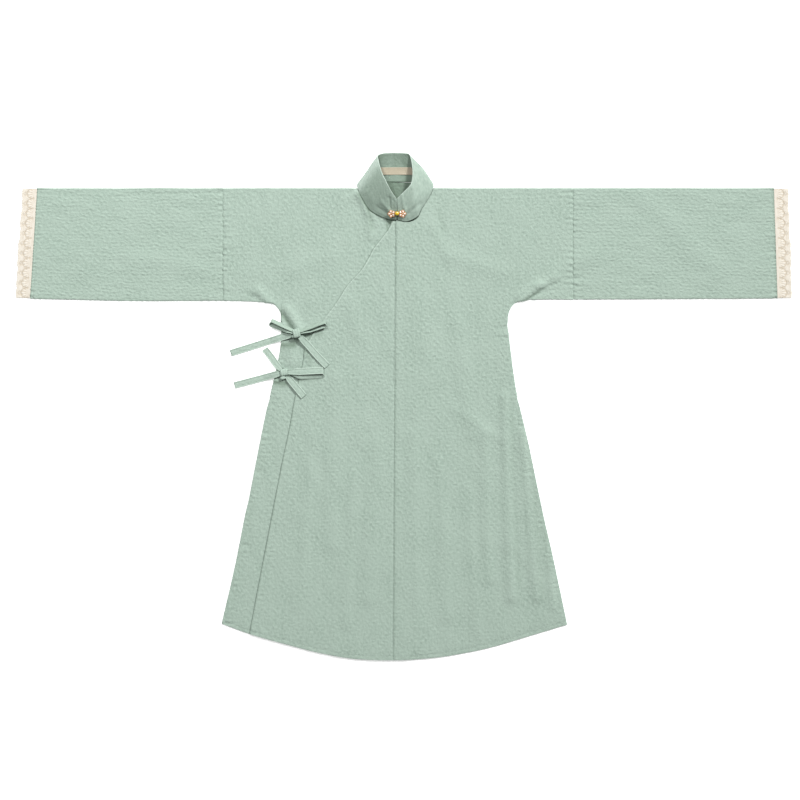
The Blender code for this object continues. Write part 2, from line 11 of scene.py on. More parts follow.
import bpy
import numpy as np
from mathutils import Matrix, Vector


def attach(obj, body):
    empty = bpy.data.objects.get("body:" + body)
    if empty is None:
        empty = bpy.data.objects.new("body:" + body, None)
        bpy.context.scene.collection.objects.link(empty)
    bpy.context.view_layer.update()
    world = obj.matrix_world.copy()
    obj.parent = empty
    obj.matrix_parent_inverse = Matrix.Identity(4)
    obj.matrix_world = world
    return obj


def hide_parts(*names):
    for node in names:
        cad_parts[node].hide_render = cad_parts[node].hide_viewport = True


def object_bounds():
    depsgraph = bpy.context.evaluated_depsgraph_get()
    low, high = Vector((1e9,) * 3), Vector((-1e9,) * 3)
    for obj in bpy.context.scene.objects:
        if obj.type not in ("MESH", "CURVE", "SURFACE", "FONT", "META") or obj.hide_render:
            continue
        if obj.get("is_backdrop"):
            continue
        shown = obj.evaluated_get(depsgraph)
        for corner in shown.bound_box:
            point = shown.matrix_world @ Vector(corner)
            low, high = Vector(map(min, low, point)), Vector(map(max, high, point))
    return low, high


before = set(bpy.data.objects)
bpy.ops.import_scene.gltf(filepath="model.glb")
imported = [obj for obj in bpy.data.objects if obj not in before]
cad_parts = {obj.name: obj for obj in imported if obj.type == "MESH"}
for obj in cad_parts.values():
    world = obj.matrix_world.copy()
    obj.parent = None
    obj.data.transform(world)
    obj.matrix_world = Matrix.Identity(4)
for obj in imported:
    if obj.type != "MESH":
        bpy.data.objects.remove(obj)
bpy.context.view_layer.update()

MM = 0.001

# %% [markdown]
# ## The pattern
# A dressmaker works from a pattern: the outline of each cut piece. These tables are the same outlines that
# the CAD pieces have, so every finer piece lands on the piece that it stands for. They could be read back
# from the CAD meshes, but a named table is easier to follow and gives a smooth curve at any spacing.

# %% Sizes and outlines
WALL = 0.9  # cotton with its turnings
SEAM = 0.3
BACK_Z, FRONT_Z, OVER = 0.5, 3.1, 2.1
SHOULDER_Y, JOIN_Y, SLIT_Y, BACK_SEAM_X = 478.7, 180.0, 18.0, -24.0
RIBBON_WIDTH, RIBBON_WALL = 13.9, 1.3
SLANT_TOP_Y, TURN_Y = 407.0, 125.0  # where the overlap's free edge starts, and where it turns down
CUFF_FOOT_Y = 239.0  # the cuffs' lower corners
BACK_TOP_Z = 1.8  # the cloth of the back lies below this height, and the fronts above it

CENTRE = np.array([(410, -16.5), (-560, -22.0)])
INNER = np.array([(410, -32.0), (-560, -44.0)])
SLANT = np.array([(407, -25.3), (386, -36.3), (347.6, -66), (333, -73.7), (300, -93.5), (266, -124.3),
                  (231, -146.3), (199, -170.5), (160, -199), (138, -213), (125, -217.8), (95, -221.1), (23, -237.8),
                  (-44, -249.7), (-106, -262.9), (-161, -273.9), (-359, -312), (-497, -338.1)])
HEM = np.array([(-400, -477.4), (-340, -499.4), (-263, -521.4), (-186, -541.2), (-109, -554.4), (-21, -557.7),
                (45, -554.4), (109, -546.7), (190, -530.2), (272, -506), (360, -479.6)])
LEFT = dict(
    sign=1, inner=CENTRE + (0, SEAM / 2), sleeve_seam=373 - SEAM / 2,
    side=np.array([(180, 227.2), (59, 242.2), (18, 250), (-2, 255.5), (-73, 272.6), (-117, 282), (-238, 307),
                   (-334, 329), (-480, 359.7)]),
    under=np.array([(227.2, 180), (228.6, 198), (231, 209.5), (236.2, 219.5), (244.5, 227.8), (257, 233.6),
                    (293.7, 236.5), (373, 236.5)]),
    neck=np.array([(-17, 409.2), (7.7, 404.6), (22, 408), (32.5, 416), (40.5, 433.4), (51, 450), (60.5, 466.4),
                   (66, SHOULDER_Y)]),
    back_neck=np.array([(66, SHOULDER_Y), (58, 486.5), (30, 491.8), (BACK_SEAM_X, 493.2)]),
)
RIGHT = dict(
    sign=-1, inner=INNER, sleeve_seam=-397 + SEAM / 2,
    side=np.array([(180, -267.7), (143, -267.7), (105.6, -273), (63.8, -282.2), (18, -293.3), (-11, -301.5),
                   (-105.6, -320.6), (-202.4, -339.4), (-239.8, -348.2), (-352, -370.4), (-477, -399.3)]),
    under=np.array([(-397, 234.5), (-337.7, 232.3), (-294, 230), (-283, 225.7), (-275.2, 217.7), (-270.2, 207.5),
                    (-268.3, 196), (-267.7, 180)]),
    neck=np.array([(-102, SHOULDER_Y), (-91.3, 455.4), (-82, 441), (-72.4, 427.7), (-55, 418.5), (-38.5, 411.4),
                   (-32, 398)]),
    back_neck=np.array([(-102, SHOULDER_Y), (-94, 486.5), (-66, 491.8), (BACK_SEAM_X, 493.2)]),
)
SLEEVES = {
    "left": dict(sign=1, seam=373 + SEAM / 2, cuff=(813.8, 821.7),
                 under=np.array([(373, 236.5), (520, 237.5), (822, 239)])),
    "right": dict(sign=-1, seam=-397 - SEAM / 2, cuff=(-805.2, -820.6),
                  under=np.array([(-821, 238.6), (-600, 233.5), (-397, 234.5)])),
}
print("pattern tables:", len(SLANT), "points on the slanting edge,", len(HEM), "on the hem")

# %% [markdown]
# ## Reading a curve from a table
# A pattern curve passes through a few marked points and is smooth between them. A Catmull-Rom curve does
# just that: each stretch between two points is a cubic whose slope at a point follows its two neighbours.

# %% Curves
def curve_at(table, t):
    """Catmull-Rom curve through the rows of a table; at a whole number t it is that row."""
    rows = np.asarray(table, float)
    ends = np.vstack([2 * rows[0] - rows[1], rows, 2 * rows[-1] - rows[-2]])
    i = np.clip(np.floor(t).astype(int), 0, len(rows) - 2)
    f = (t - i)[..., None]
    a, b, c, d = ends[i], ends[i + 1], ends[i + 2], ends[i + 3]
    return 0.5 * (2 * b + (c - a) * f + (2 * a - 5 * b + 4 * c - d) * f**2 + (3 * b - a - 3 * c + d) * f**3)


def smooth(table, parts):
    """The same curve as rows, with `parts` steps between two rows of the table."""
    return curve_at(table, np.linspace(0, len(table) - 1, (len(table) - 1) * parts + 1))


def at(table, value):
    """Second column of a table at values of its first column, which runs up or down."""
    rows = table[np.argsort(table[:, 0])]
    return np.interp(value, rows[:, 0], rows[:, 1])


SLANT, HEM = smooth(SLANT, 5), smooth(HEM, 8)
for cut in (LEFT, RIGHT):
    cut["side"], cut["under"], cut["neck"] = smooth(cut["side"], 5), smooth(cut["under"], 4), smooth(cut["neck"], 4)
print("smoothed side edge:", len(LEFT["side"]), "points")

# %% [markdown]
# ## How crinkled cotton lies
# Crinkled cotton isn't flat anywhere. It has soft folds where it was moved on the table, short dents beside
# each seam where the thread pulls it in, and low hills all over. Each of these is a height added to the
# plain panel. The hills come from a table of seeded random heights that are blended smoothly, so the result
# is the same at each run.

# %% Folds, hills and puckers
FOLDS = (
    (-254, 212, -226, 164, 10, 4.6), (-322, 254, -292, 226, 12, 3.2), (259, 236, 300, 266, 11, 3.8),
    (300, 266, 332, 284, 11, 3.0), (-99, 470, -76, 424, 9, 3.6), (-76, 424, -70, 372, 9, 2.6),
    (222, 20, 236, -420, 11, 3.0), (262, -60, 292, -420, 10, 2.9), (178, -60, 186, -380, 13, 2.0),
    (110, 330, 205, 300, 20, 1.5), (-160, 330, -250, 300, 20, 1.4), (-540, 462, -700, 300, 24, 1.3),
    (520, 462, 690, 300, 24, 1.3), (-150, 60, -160, -300, 20, 1.6), (-249, 120, -245, 98, 13, 2.6),
    (-204, 120, -190, 98, 9, -1.1), (-100, 468, -118, 456, 8, 1.2), (30, 250, 60, 60, 22, 1.3),
    (120, 180, 150, -60, 17, 1.5), (-60, -80, -80, -420, 18, 1.4), (80, -120, 96, -460, 16, 1.4),
    (22, -60, 32, -480, 12, 0.9), (140, -180, 162, -500, 12, 1.1), (-200, -60, -226, -440, 12, 1.2),
    (-110, -150, -128, -480, 11, 1.0), (-40, 352, -66, 322, 13, -1.3), (-120, 230, -92, 150, 16, 1.2),
    (330, 300, 420, 330, 16, 1.4), (-440, 300, -600, 330, 18, 1.2), (60, 400, 96, 330, 14, 1.4),
    (113, -6, 212, -72, 12, 1.2), (306, -160, 328, -440, 9, 1.6),
)
CREASES = (
    (-268, 208, -241, 160, 3.4, -3.6), (-284, 214, -262, 180, 2.8, 1.2), (-328, 246, -298, 220, 2.6, -1.8),
    (268, 230, 305, 256, 3.0, -2.8), (254, 246, 292, 272, 3.0, 1.1), (305, 256, 340, 272, 2.6, -2.0),
    (-102, 476, -84, 446, 2.8, -2.4), (-84, 446, -66, 392, 3.0, -2.6), (-66, 392, -66, 352, 3.2, -2.0),
    (-652, 460, -560, 466, 2.6, -0.7), (-560, 466, -392, 471, 2.6, -0.8), (-670, 476, -668, 398, 1.6, -0.5),
    (-104, 480, -122, 467, 2.6, -1.8), (-213, 90, -199, 101, 3.0, 1.4), (-222, 108, -214, 92, 2.4, -0.8),
    (236, 30, 246, -380, 2.8, -0.8), (268, -20, 290, -400, 2.6, -0.8), (206, 60, 214, -260, 2.8, -0.7),
    (242, 226, 280, 262, 2.6, -1.4), (284, 244, 336, 258, 2.4, -1.2), (-38, 411, -30, 398, 2.2, -1.8),
    (-30, 398, -38, 385, 2.2, -1.5), (246, -60, 268, -400, 2.4, 0.6), (-320, 236, -352, 250, 2.6, -1.0),
)

# Lines of painted shade: the deepest creases, where hardly any light gets in, and the shadows that the
# ties and knots cast on the cloth. Each row is a line, its half width, and how much deeper the tone is there.
PAINTED_SHADE_LINES = (
    (-270, 206, -245, 174, 5.0, 0.75), (-268, 135, -242, 134, 6.5, 0.85), (-284, 53, -260, 50, 6.5, 0.85),
    (-240, 142, -226, 147, 5.0, 0.55), (-214, 122, -205, 100, 6.0, 0.42), (-216, 151, -180, 160, 4.6, 0.35),
    (-226, 60, -184, 65, 4.8, 0.50), (-98, 466, -77, 433, 4.2, 0.62), (-77, 433, -69, 390, 4.6, 0.36),
    (-38, 408, -34, 387, 2.8, 0.60), (77, 431, 90, 387, 4.8, 0.18), (250, 222, 298, 254, 3.4, 0.45),
    (236, 20, 252, -400, 5.0, 0.12), (280, -80, 304, -430, 5.0, 0.13), (-256, 66, -240, 72, 3.8, 0.40),
)


def ridges(table, x, y):
    """Rounded ridges: for each row, height times a bell curve of the distance to its line, over its half
    width."""
    total = np.zeros(np.broadcast(x, y).shape)
    for x0, y0, x1, y1, half, height in table:
        run = np.hypot(x1 - x0, y1 - y0)
        ux, uy = (x1 - x0) / run, (y1 - y0) / run
        along = np.clip((x - x0) * ux + (y - y0) * uy, 0, run)
        off = np.hypot(x - x0 - along * ux, y - y0 - along * uy)
        total = total + height * np.exp(-((off / half) ** 2))
    return total


def ease(t):
    """Smoothstep: the square of t times three less twice t, which leaves 0 and reaches 1 without a bend."""
    return t**2 * (3 - 2 * t)


def hills(x, y, wide, long, seed):
    """Smooth random heights from -1 to 1: seeded numbers on a lattice of `wide` by `long`, blended by
    smoothstep."""
    table = np.random.default_rng(seed).uniform(-1, 1, (61, 67))
    a, b = np.broadcast_arrays(np.asarray(x) / wide, np.asarray(y) / long)
    i, j = np.floor(a).astype(int), np.floor(b).astype(int)
    f, g = ease(a - i), ease(b - j)
    low = table[i % 61, j % 67] * (1 - f) + table[(i + 1) % 61, j % 67] * f
    high = table[i % 61, (j + 1) % 67] * (1 - f) + table[(i + 1) % 61, (j + 1) % 67] * f
    return low * (1 - g) + high * g


def crinkle(x, y, long_x=1.0, long_y=2.2):
    """The cloth's own unevenness: low hills of three sizes, drawn out along the grain."""
    return (0.45 * hills(x, y, 34 * long_x, 34 * long_y, 1) + 0.36 * hills(x, y, 15 * long_x, 15 * long_y, 2)
            + 0.20 * hills(x, y, 9.5 * long_x, 9.5 * long_y, 3))


def puckers(away, along, pitch, reach, height, seed):
    """Dents beside a seam: a sine along it with an uneven pitch and swing, times a fall-off away from it."""
    zero = np.zeros(np.shape(along))
    phase = along / pitch + 0.9 * hills(along, zero, 3 * pitch, 10, seed)
    swing = 0.65 + 0.45 * hills(along, zero, 2.2 * pitch, 10, seed + 1)
    length = reach * (1 + 0.5 * hills(along, zero, 1.7 * pitch, 10, seed + 2))
    return height * swing * np.sin(2 * math.pi * phase) * np.exp(-(np.abs(away) / length) ** 1.5)


def sewn(away, along, seed, pitch=12.5, reach=15.0, height=0.5):
    """A plain seam: puckers and a thin groove."""
    return puckers(away, along, pitch, reach, height, seed) - 0.8 * np.exp(-((away / 1.6) ** 2))


def hemmed(away, along, seed, wide, height=0.35, droop=0.9):
    """A turned edge: a thicker band, a groove under its stitches, puckers, and an edge that rests on what
    is below."""
    band = 0.35 / (1 + np.exp(np.clip((away - wide) / 0.7, -50, 50)))
    groove = 0.45 * np.exp(-(((away - wide + 1.2) / 1.4) ** 2))
    return band - groove + puckers(away - wide, along, 9.0, 10, height, seed) - droop * np.exp(-((away / 9) ** 2))


print("folds:", len(FOLDS), "and creases:", len(CREASES))

# %% [markdown]
# ## Heights of the layers
# The back lies on the table, the fronts lie over it, and the overlap lies over the inner front. Each layer
# has one function that gives the middle of the cloth above the table at any place. Stitches later use the
# same functions, so they sit on the cloth wherever it goes.

# %% Height functions
LOWEST_FRONT = BACK_Z + WALL + 0.2  # a front never sinks into the back


def plain_front(x, y):
    """A front before its details: over the back, lifted beside the centre seam to the overlap's height,
    with folds."""
    reach = np.clip((150 - (x - at(CENTRE, y))) / 150, 0, 1)
    lift = np.where(x > at(CENTRE, y) - 1, OVER * reach**2 * (3 - 2 * reach), 0)
    return FRONT_Z + lift + ridges(FOLDS, x, y)


def body_front(cut, x, y):
    """A body front with its seams: side seam, side hem below the slit, hem, sleeve seam, underarm, neck and
    centre."""
    sign, seed = cut["sign"], 20 if cut["sign"] > 0 else 40
    side = sign * (at(cut["side"], y) - x)
    free = np.clip((SLIT_Y - y) / 40, 0, 1)
    low = np.clip((JOIN_Y + 18 - y) / 18, 0, 1)
    arm = np.clip((sign * x - abs(at(cut["side"], JOIN_Y)) + 4) / 8, 0, 1) * np.clip((y - 170) / 20, 0, 1)
    z = plain_front(x, y) + crinkle(x, y) + ridges(CREASES, x, y)
    closed, open_edge = puckers(side, y, 12.5, 16, 0.9, seed), hemmed(side, y, seed + 3, 11, height=1.3)
    z = z + low * ((1 - free) * closed + free * open_edge)
    z = z + arm * puckers(y - at(cut["under"], x), x, 12.5, 16, 0.9, seed + 6)
    z = z + np.clip((y - 200) / 20, 0, 1) * sewn(sign * (cut["sleeve_seam"] - x), y, seed + 9, height=1.3)
    z = z + hemmed(y - at(HEM, x), x, seed + 12, 8.5, height=0.7)
    neck = np.abs(y - at(cut["neck"], x))
    inside_neck = (sign * x < abs(cut["neck"][:, 0]).max()) & (y > 380)
    z = z + np.where(inside_neck, puckers(neck, x, 8.0, 8.0, 0.4, seed + 15), 0)
    z = z + sewn(sign * (x - at(cut["inner"], y)), y, seed + 18, pitch=17, reach=7, height=0.12)
    return np.maximum(z, LOWEST_FRONT)


def from_slant(x, y):
    """Distance in from the overlap's free edge: the width there times the cosine of the edge's lean, which is
    larger above its turn than below it."""
    return (x - at(SLANT, y)) * np.where(y > TURN_Y, 0.78, 0.97)


def overlap_front(x, y):
    """The overlap with its stitched slanting and side edge, its hem and the centre seam."""
    edge = from_slant(x, y)
    z = FRONT_Z + OVER + ridges(FOLDS, x, y) + crinkle(x, y) + ridges(CREASES, x, y)
    z = z + hemmed(edge, y, 70, 11, height=0.7, droop=0.7) + 0.5 * np.exp(-(((edge - 2.5) / 1.6) ** 2))
    z = z + hemmed(y - at(HEM, x), x, 74, 8.5, height=0.7, droop=0.6)
    z = z + sewn(at(CENTRE, y) - x, y, 78, pitch=17, reach=7, height=0.12)
    return np.maximum(z, body_front(RIGHT, x, y) + WALL + 0.12)


def cuff_edge(cut, v):
    """Where a sleeve ends at the share v of its width, from the underarm seam (0) to the fold at the top
    (1)."""
    return cut["cuff"][1] + (cut["cuff"][0] - cut["cuff"][1]) * v


def sleeve_front(cut, x, y):
    """A sleeve's upper side with its armhole seam, lower seam, stitched cuff and a grain that runs along
    the arm."""
    sign, seed = cut["sign"], 90 if cut["sign"] > 0 else 110
    v = (y - at(cut["under"], x)) / (SHOULDER_Y - at(cut["under"], x))
    cuff = sign * (cuff_edge(cut, v) - x)
    z = plain_front(x, y) + crinkle(x, y, 2.2, 1.0) + ridges(CREASES, x, y)
    z = z + sewn(sign * (x - cut["seam"]), y, seed, height=1.3)
    z = z + puckers(y - at(cut["under"], x), x, 12.5, 16, 0.8, seed + 3)
    z = z + puckers(cuff, y, 7.2, 15, 1.6, seed + 6) - 0.4 * np.exp(-(((cuff - 5) / 1.4) ** 2))
    return np.maximum(z, LOWEST_FRONT)


def back_sheet(x, y):
    """The back, flat on the table, a little thicker beside the centre back seam."""
    return BACK_Z + 0.35 * np.exp(-(((x - BACK_SEAM_X) / 8) ** 4)) + 0.06 * (1 + hills(x, y, 20, 30, 5))


print("front height at the chest:", round(float(body_front(LEFT, np.array(100.0), np.array(300.0))), 2), "mm")

# %% [markdown]
# ## Cloth with two sides
# A cloth piece could be one thin surface with a Solidify modifier. Here the wall is worked out with arrays
# instead, so that the open edges can be rounded like a turned hem. Each piece starts as a middle surface.
# Both sides are the middle moved out and in by half the wall, and a rounded rim closes every open edge.

# %% A middle surface
class Middle:
    """A middle surface of cloth: points, a rough way out for each, its place on the grain, and four-sided
    faces."""

    def __init__(self):
        self.points, self.ways, self.grain, self.faces, self.count = [], [], [], [], 0

    def add(self, points, way, grain):
        """Take in a grid of points and give their numbers in the same layout."""
        points = np.asarray(points, float)
        self.points.append(points.reshape(-1, 3))
        self.ways.append(np.broadcast_to(way, points.shape).reshape(-1, 3))
        self.grain.append(np.broadcast_to(grain, points.shape[:-1] + (2,)).reshape(-1, 2))
        first, self.count = self.count, self.count + len(self.points[-1])
        return np.arange(first, self.count).reshape(points.shape[:-1])

    def weave(self, grid):
        """Faces between neighbouring rows and columns of point numbers."""
        self.faces.append(np.stack([grid[:-1, :-1], grid[:-1, 1:], grid[1:, 1:], grid[1:, :-1]], -1).reshape(-1, 4))

    def fold(self, front, back, outward, steps=5):
        """Join front points to the back points below them by half a circle, turned from down through out to
        up."""
        points, grain = np.vstack(self.points), np.vstack(self.grain)
        top, low = points[front], points[back]
        middle, radius = (top + low) / 2, (top - low)[:, 2] / 2
        turn = np.linspace(0, math.pi, steps + 1)[1:-1, None, None]
        flat = np.column_stack([outward, np.zeros(len(outward))])[None]
        way = flat * np.sin(turn) + np.array([0, 0, -1.0]) * np.cos(turn)
        rows = self.add(middle[None] + way * radius[None, :, None], way, grain[front][None])
        self.weave(np.vstack([back, rows, front]))

    def solid(self, wall):
        """Points, faces and grain of the closed cloth: both sides, and a rounded rim at each open edge."""
        points, ways, grain = np.vstack(self.points), np.vstack(self.ways), np.vstack(self.grain)
        faces = np.vstack(self.faces)
        corner = points[faces]
        flat = np.cross(corner[:, 2] - corner[:, 0], corner[:, 3] - corner[:, 1])
        turned = (flat * ways[faces].sum(axis=1)).sum(axis=1) < 0
        faces, flat = np.where(turned[:, None], faces[:, ::-1], faces), np.where(turned[:, None], -flat, flat)
        normal, out = np.zeros_like(points), np.zeros_like(points)
        centre = corner.mean(axis=1)
        for k in range(4):
            np.add.at(normal, faces[:, k], flat)
            np.add.at(out, faces[:, k], points[faces[:, k]] - centre)
        normal /= np.linalg.norm(normal, axis=1)[:, None] + 1e-12
        edges = np.stack([faces, np.roll(faces, -1, axis=1)], -1).reshape(-1, 2)
        _, which, times = np.unique(np.sort(edges, axis=1), axis=0, return_inverse=True, return_counts=True)
        edges = edges[times[which.ravel()] == 1]
        rim = np.unique(edges)
        aside = out[rim] - (out[rim] * normal[rim]).sum(axis=1)[:, None] * normal[rim]
        aside /= np.linalg.norm(aside, axis=1)[:, None] + 1e-12
        count = len(points)
        number = np.full(count, -1)
        number[rim] = 2 * count + np.arange(len(rim))
        shell = np.vstack([points + normal * wall / 2, points - normal * wall / 2,
                           points[rim] + aside * wall * 0.4])
        a, b = edges.T
        sides = np.vstack([np.stack([b, a, number[a], number[b]], -1),
                           np.stack([number[b], number[a], a + count, b + count], -1)])
        return shell, np.vstack([faces, faces[:, ::-1] + count, sides]), np.vstack([grain, grain, grain[rim]])


# %% [markdown]
# ## From arrays to a piece
# Every finished piece goes the same way: the arrays become a mesh, each corner gets its place on the grain
# as a UV map where a grain is given, and the piece is tied to the one body of the frame and to its finish
# slot, while the CAD pieces that it stands for are hidden.

# %% Making a piece
triangle_total = {}


def joined(parts):
    """Several meshes as one: points stacked and face numbers shifted."""
    points, faces, count = [], [], 0
    for part_points, part_faces in parts:
        points.append(part_points)
        faces += [[n + count for n in face] for face in part_faces]
        count += len(part_points)
    return np.vstack(points), faces


def make_piece(name, points, faces, finish, stands_for=(), grain=None):
    """A smooth mesh object at the origin from points in millimetres, with its grain map in metres."""
    mesh = bpy.data.meshes.new(name)
    faces = faces.tolist() if isinstance(faces, np.ndarray) else faces
    mesh.from_pydata((np.asarray(points) * MM).tolist(), [], faces)
    mesh.polygons.foreach_set("use_smooth", np.ones(len(mesh.polygons), bool))
    if grain is not None:
        corners = np.empty(len(mesh.loops), np.int32)
        mesh.loops.foreach_get("vertex_index", corners)
        layer = mesh.uv_layers.new(name="grain")
        layer.data.foreach_set("uv", (np.asarray(grain)[corners] * MM).astype(np.float32).ravel())
    mesh.materials.append(finish)
    mesh.update()
    piece = bpy.data.objects.new(name, mesh)
    bpy.context.scene.collection.objects.link(piece)
    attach(piece, "root")
    if stands_for:
        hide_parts(*stands_for)
    triangle_total[name] = sum(len(p.vertices) - 2 for p in mesh.polygons)
    print(f"{name}: {triangle_total[name]} triangles")
    return piece


def half_area(points, faces):
    """Half the surface of a closed four-sided mesh in square metres, which is the area of its cloth."""
    corner = np.asarray(points)[faces] * MM
    cross = np.cross(corner[:, 2] - corner[:, 0], corner[:, 3] - corner[:, 1])
    return float(np.linalg.norm(cross, axis=1).sum() / 4)


# %% [markdown]
# ## The cotton
# The cloth is a matt sage green cotton with a crinkled weave. Seen close, its bubbles repeat: crossing rows
# of them, 8 to 20 mm apart, with some unevenness. A plain noise looks like leather here, so a few sine
# waves in the directions of those rows are added up, bent a little by a wide noise, and a finer noise goes
# over them. The result is a bump, and its dips get a little painted shade in the colour. The pattern
# follows the grain map. Point values add painted shade in creases, seams and shadows, and a painted
# highlight on edges.

# %% Node helpers
def new_finish(name):
    """A material with an empty principled surface, and its node tree."""
    finish = bpy.data.materials.new(name)
    finish.use_nodes = True
    return finish, finish.node_tree, finish.node_tree.nodes["Principled BSDF"]


def add_node(tree, kind, **values):
    """A node of a kind with its settings: names in lower case are properties, numbers as n0, n1 are input
    sockets."""
    node = tree.nodes.new(kind)
    for key, value in values.items():
        if key[0] == "n" and key[1:].isdigit():
            node.inputs[int(key[1:])].default_value = value
        else:
            setattr(node, key, value)
    return node


def stretched_noise(tree, source, across, along, detail=2.0, distortion=0.0):
    """Noise whose hills are `across` by `along` millimetres on the grain map."""
    place = add_node(tree, "ShaderNodeMapping")
    place.inputs["Scale"].default_value = (1000 / across, 1000 / along, 1)
    tree.links.new(source, place.inputs["Vector"])
    noise = add_node(tree, "ShaderNodeTexNoise", noise_dimensions="2D")
    noise.inputs["Scale"].default_value = 1.0
    noise.inputs["Detail"].default_value = detail
    noise.inputs["Distortion"].default_value = distortion
    tree.links.new(place.outputs["Vector"], noise.inputs["Vector"])
    return noise.outputs["Fac"]


def blend_values(tree, operation, first, second):
    """A math node of two sockets or numbers."""
    node = add_node(tree, "ShaderNodeMath", operation=operation)
    for k, value in enumerate((first, second)):
        if isinstance(value, (int, float)):
            node.inputs[k].default_value = value
        else:
            tree.links.new(value, node.inputs[k])
    return node.outputs[0]


def blend_colours(tree, amount, first, second):
    """A colour mix driven by a socket."""
    node = add_node(tree, "ShaderNodeMix", data_type="RGBA")
    tree.links.new(amount, node.inputs["Factor"])
    for socket, value in (("A", first), ("B", second)):
        target = [s for s in node.inputs if s.name == socket and s.type == "RGBA"][0]
        if isinstance(value, tuple):
            target.default_value = value
        else:
            tree.links.new(value, target)
    return [s for s in node.outputs if s.type == "RGBA"][0]


def ramp_between(tree, value, low, high):
    """A value stretched so that `low` becomes 0 and `high` becomes 1."""
    node = add_node(tree, "ShaderNodeMapRange", n1=low, n2=high)
    tree.links.new(value, node.inputs[0])
    return node.outputs[0]


def add_bump(tree, surface, height, strength, distance):
    """A bump on a surface from a height socket; `distance` is the rise in metres where the height is 1."""
    bump = add_node(tree, "ShaderNodeBump")
    bump.inputs["Strength"].default_value = strength
    bump.inputs["Distance"].default_value = distance
    tree.links.new(height, bump.inputs["Height"])
    tree.links.new(bump.outputs["Normal"], surface.inputs["Normal"])


def object_noise(tree, scale):
    """Noise on Object coordinates, which stays fixed on a piece, `scale` hills to the metre."""
    noise = add_node(tree, "ShaderNodeTexNoise", noise_dimensions="3D")
    noise.inputs["Scale"].default_value = scale
    tree.links.new(add_node(tree, "ShaderNodeTexCoord").outputs["Object"], noise.inputs["Vector"])
    return noise.outputs["Fac"]


# %% Cotton finish
# The deep tone is painted shade for the dips of the crinkle.
COTTON_LIGHT, COTTON_DIP_SHADE = (0.352, 0.444, 0.379, 1), (0.282, 0.366, 0.308, 1)
# The inside tone is painted shade for creases, seams, shadows under the ties and the inside of the neck.
COTTON_PALE, COTTON_PAINTED_SHADE = (0.342, 0.430, 0.368, 1), (0.150, 0.208, 0.158, 1)
# A pale painted highlight for edges and rims that catch the light.
COTTON_PAINTED_HIGHLIGHT = (0.50, 0.60, 0.53, 1)

# Rows of bubbles: waves per metre across and along the grain, and strength.
BODY_WAVES = (
    (53, 61, 1.0), (-60, 61, 1.0), (-6, 119, 0.9), (-86, 28, 1.0), (83, 31, 0.5), (56, 0, 0.5), (-62, 122, 0.4),
)
SLEEVE_WAVES = (
    (127, 1, 1.5), (65, 57, 1.0), (64, -57, 0.9), (31, -87, 0.9), (99, 36, 0.4), (127, -58, 0.5), (66, 4, 0.6),
)
SMALL_WAVES = ((110, 60, 0.8), (-100, 70, 0.8), (10, 150, 0.8))


def bubble_rows(tree, grain, waves):
    """Sum of sines over the bent grain map, each with its own direction and strength, swelling and fading
    by a noise."""
    bend = add_node(tree, "ShaderNodeTexNoise", noise_dimensions="2D")
    bend.inputs["Scale"].default_value = 32.0
    bend.inputs["Detail"].default_value = 1.0
    tree.links.new(grain, bend.inputs["Vector"])
    moved = add_node(tree, "ShaderNodeVectorMath", operation="MULTIPLY_ADD")
    tree.links.new(bend.outputs["Color"], moved.inputs[0])
    moved.inputs[1].default_value = (0.010, 0.010, 0)
    tree.links.new(grain, moved.inputs[2])
    total = 0.0
    for number, (across, along, strength) in enumerate(waves):
        row = add_node(tree, "ShaderNodeVectorMath", operation="DOT_PRODUCT")
        tree.links.new(moved.outputs["Vector"], row.inputs[0])
        row.inputs[1].default_value = (2 * math.pi * across, 2 * math.pi * along, 0)
        wave = blend_values(tree, "SINE", blend_values(tree, "ADD", row.outputs["Value"], 1.7 * number), 0.0)
        total = blend_values(tree, "ADD", blend_values(tree, "MULTIPLY", wave, strength), total)
    swell = ramp_between(tree, stretched_noise(tree, grain, 18.0, 22.0, 1.0), 0.15, 0.65)
    return blend_values(tree, "MULTIPLY", total, swell)


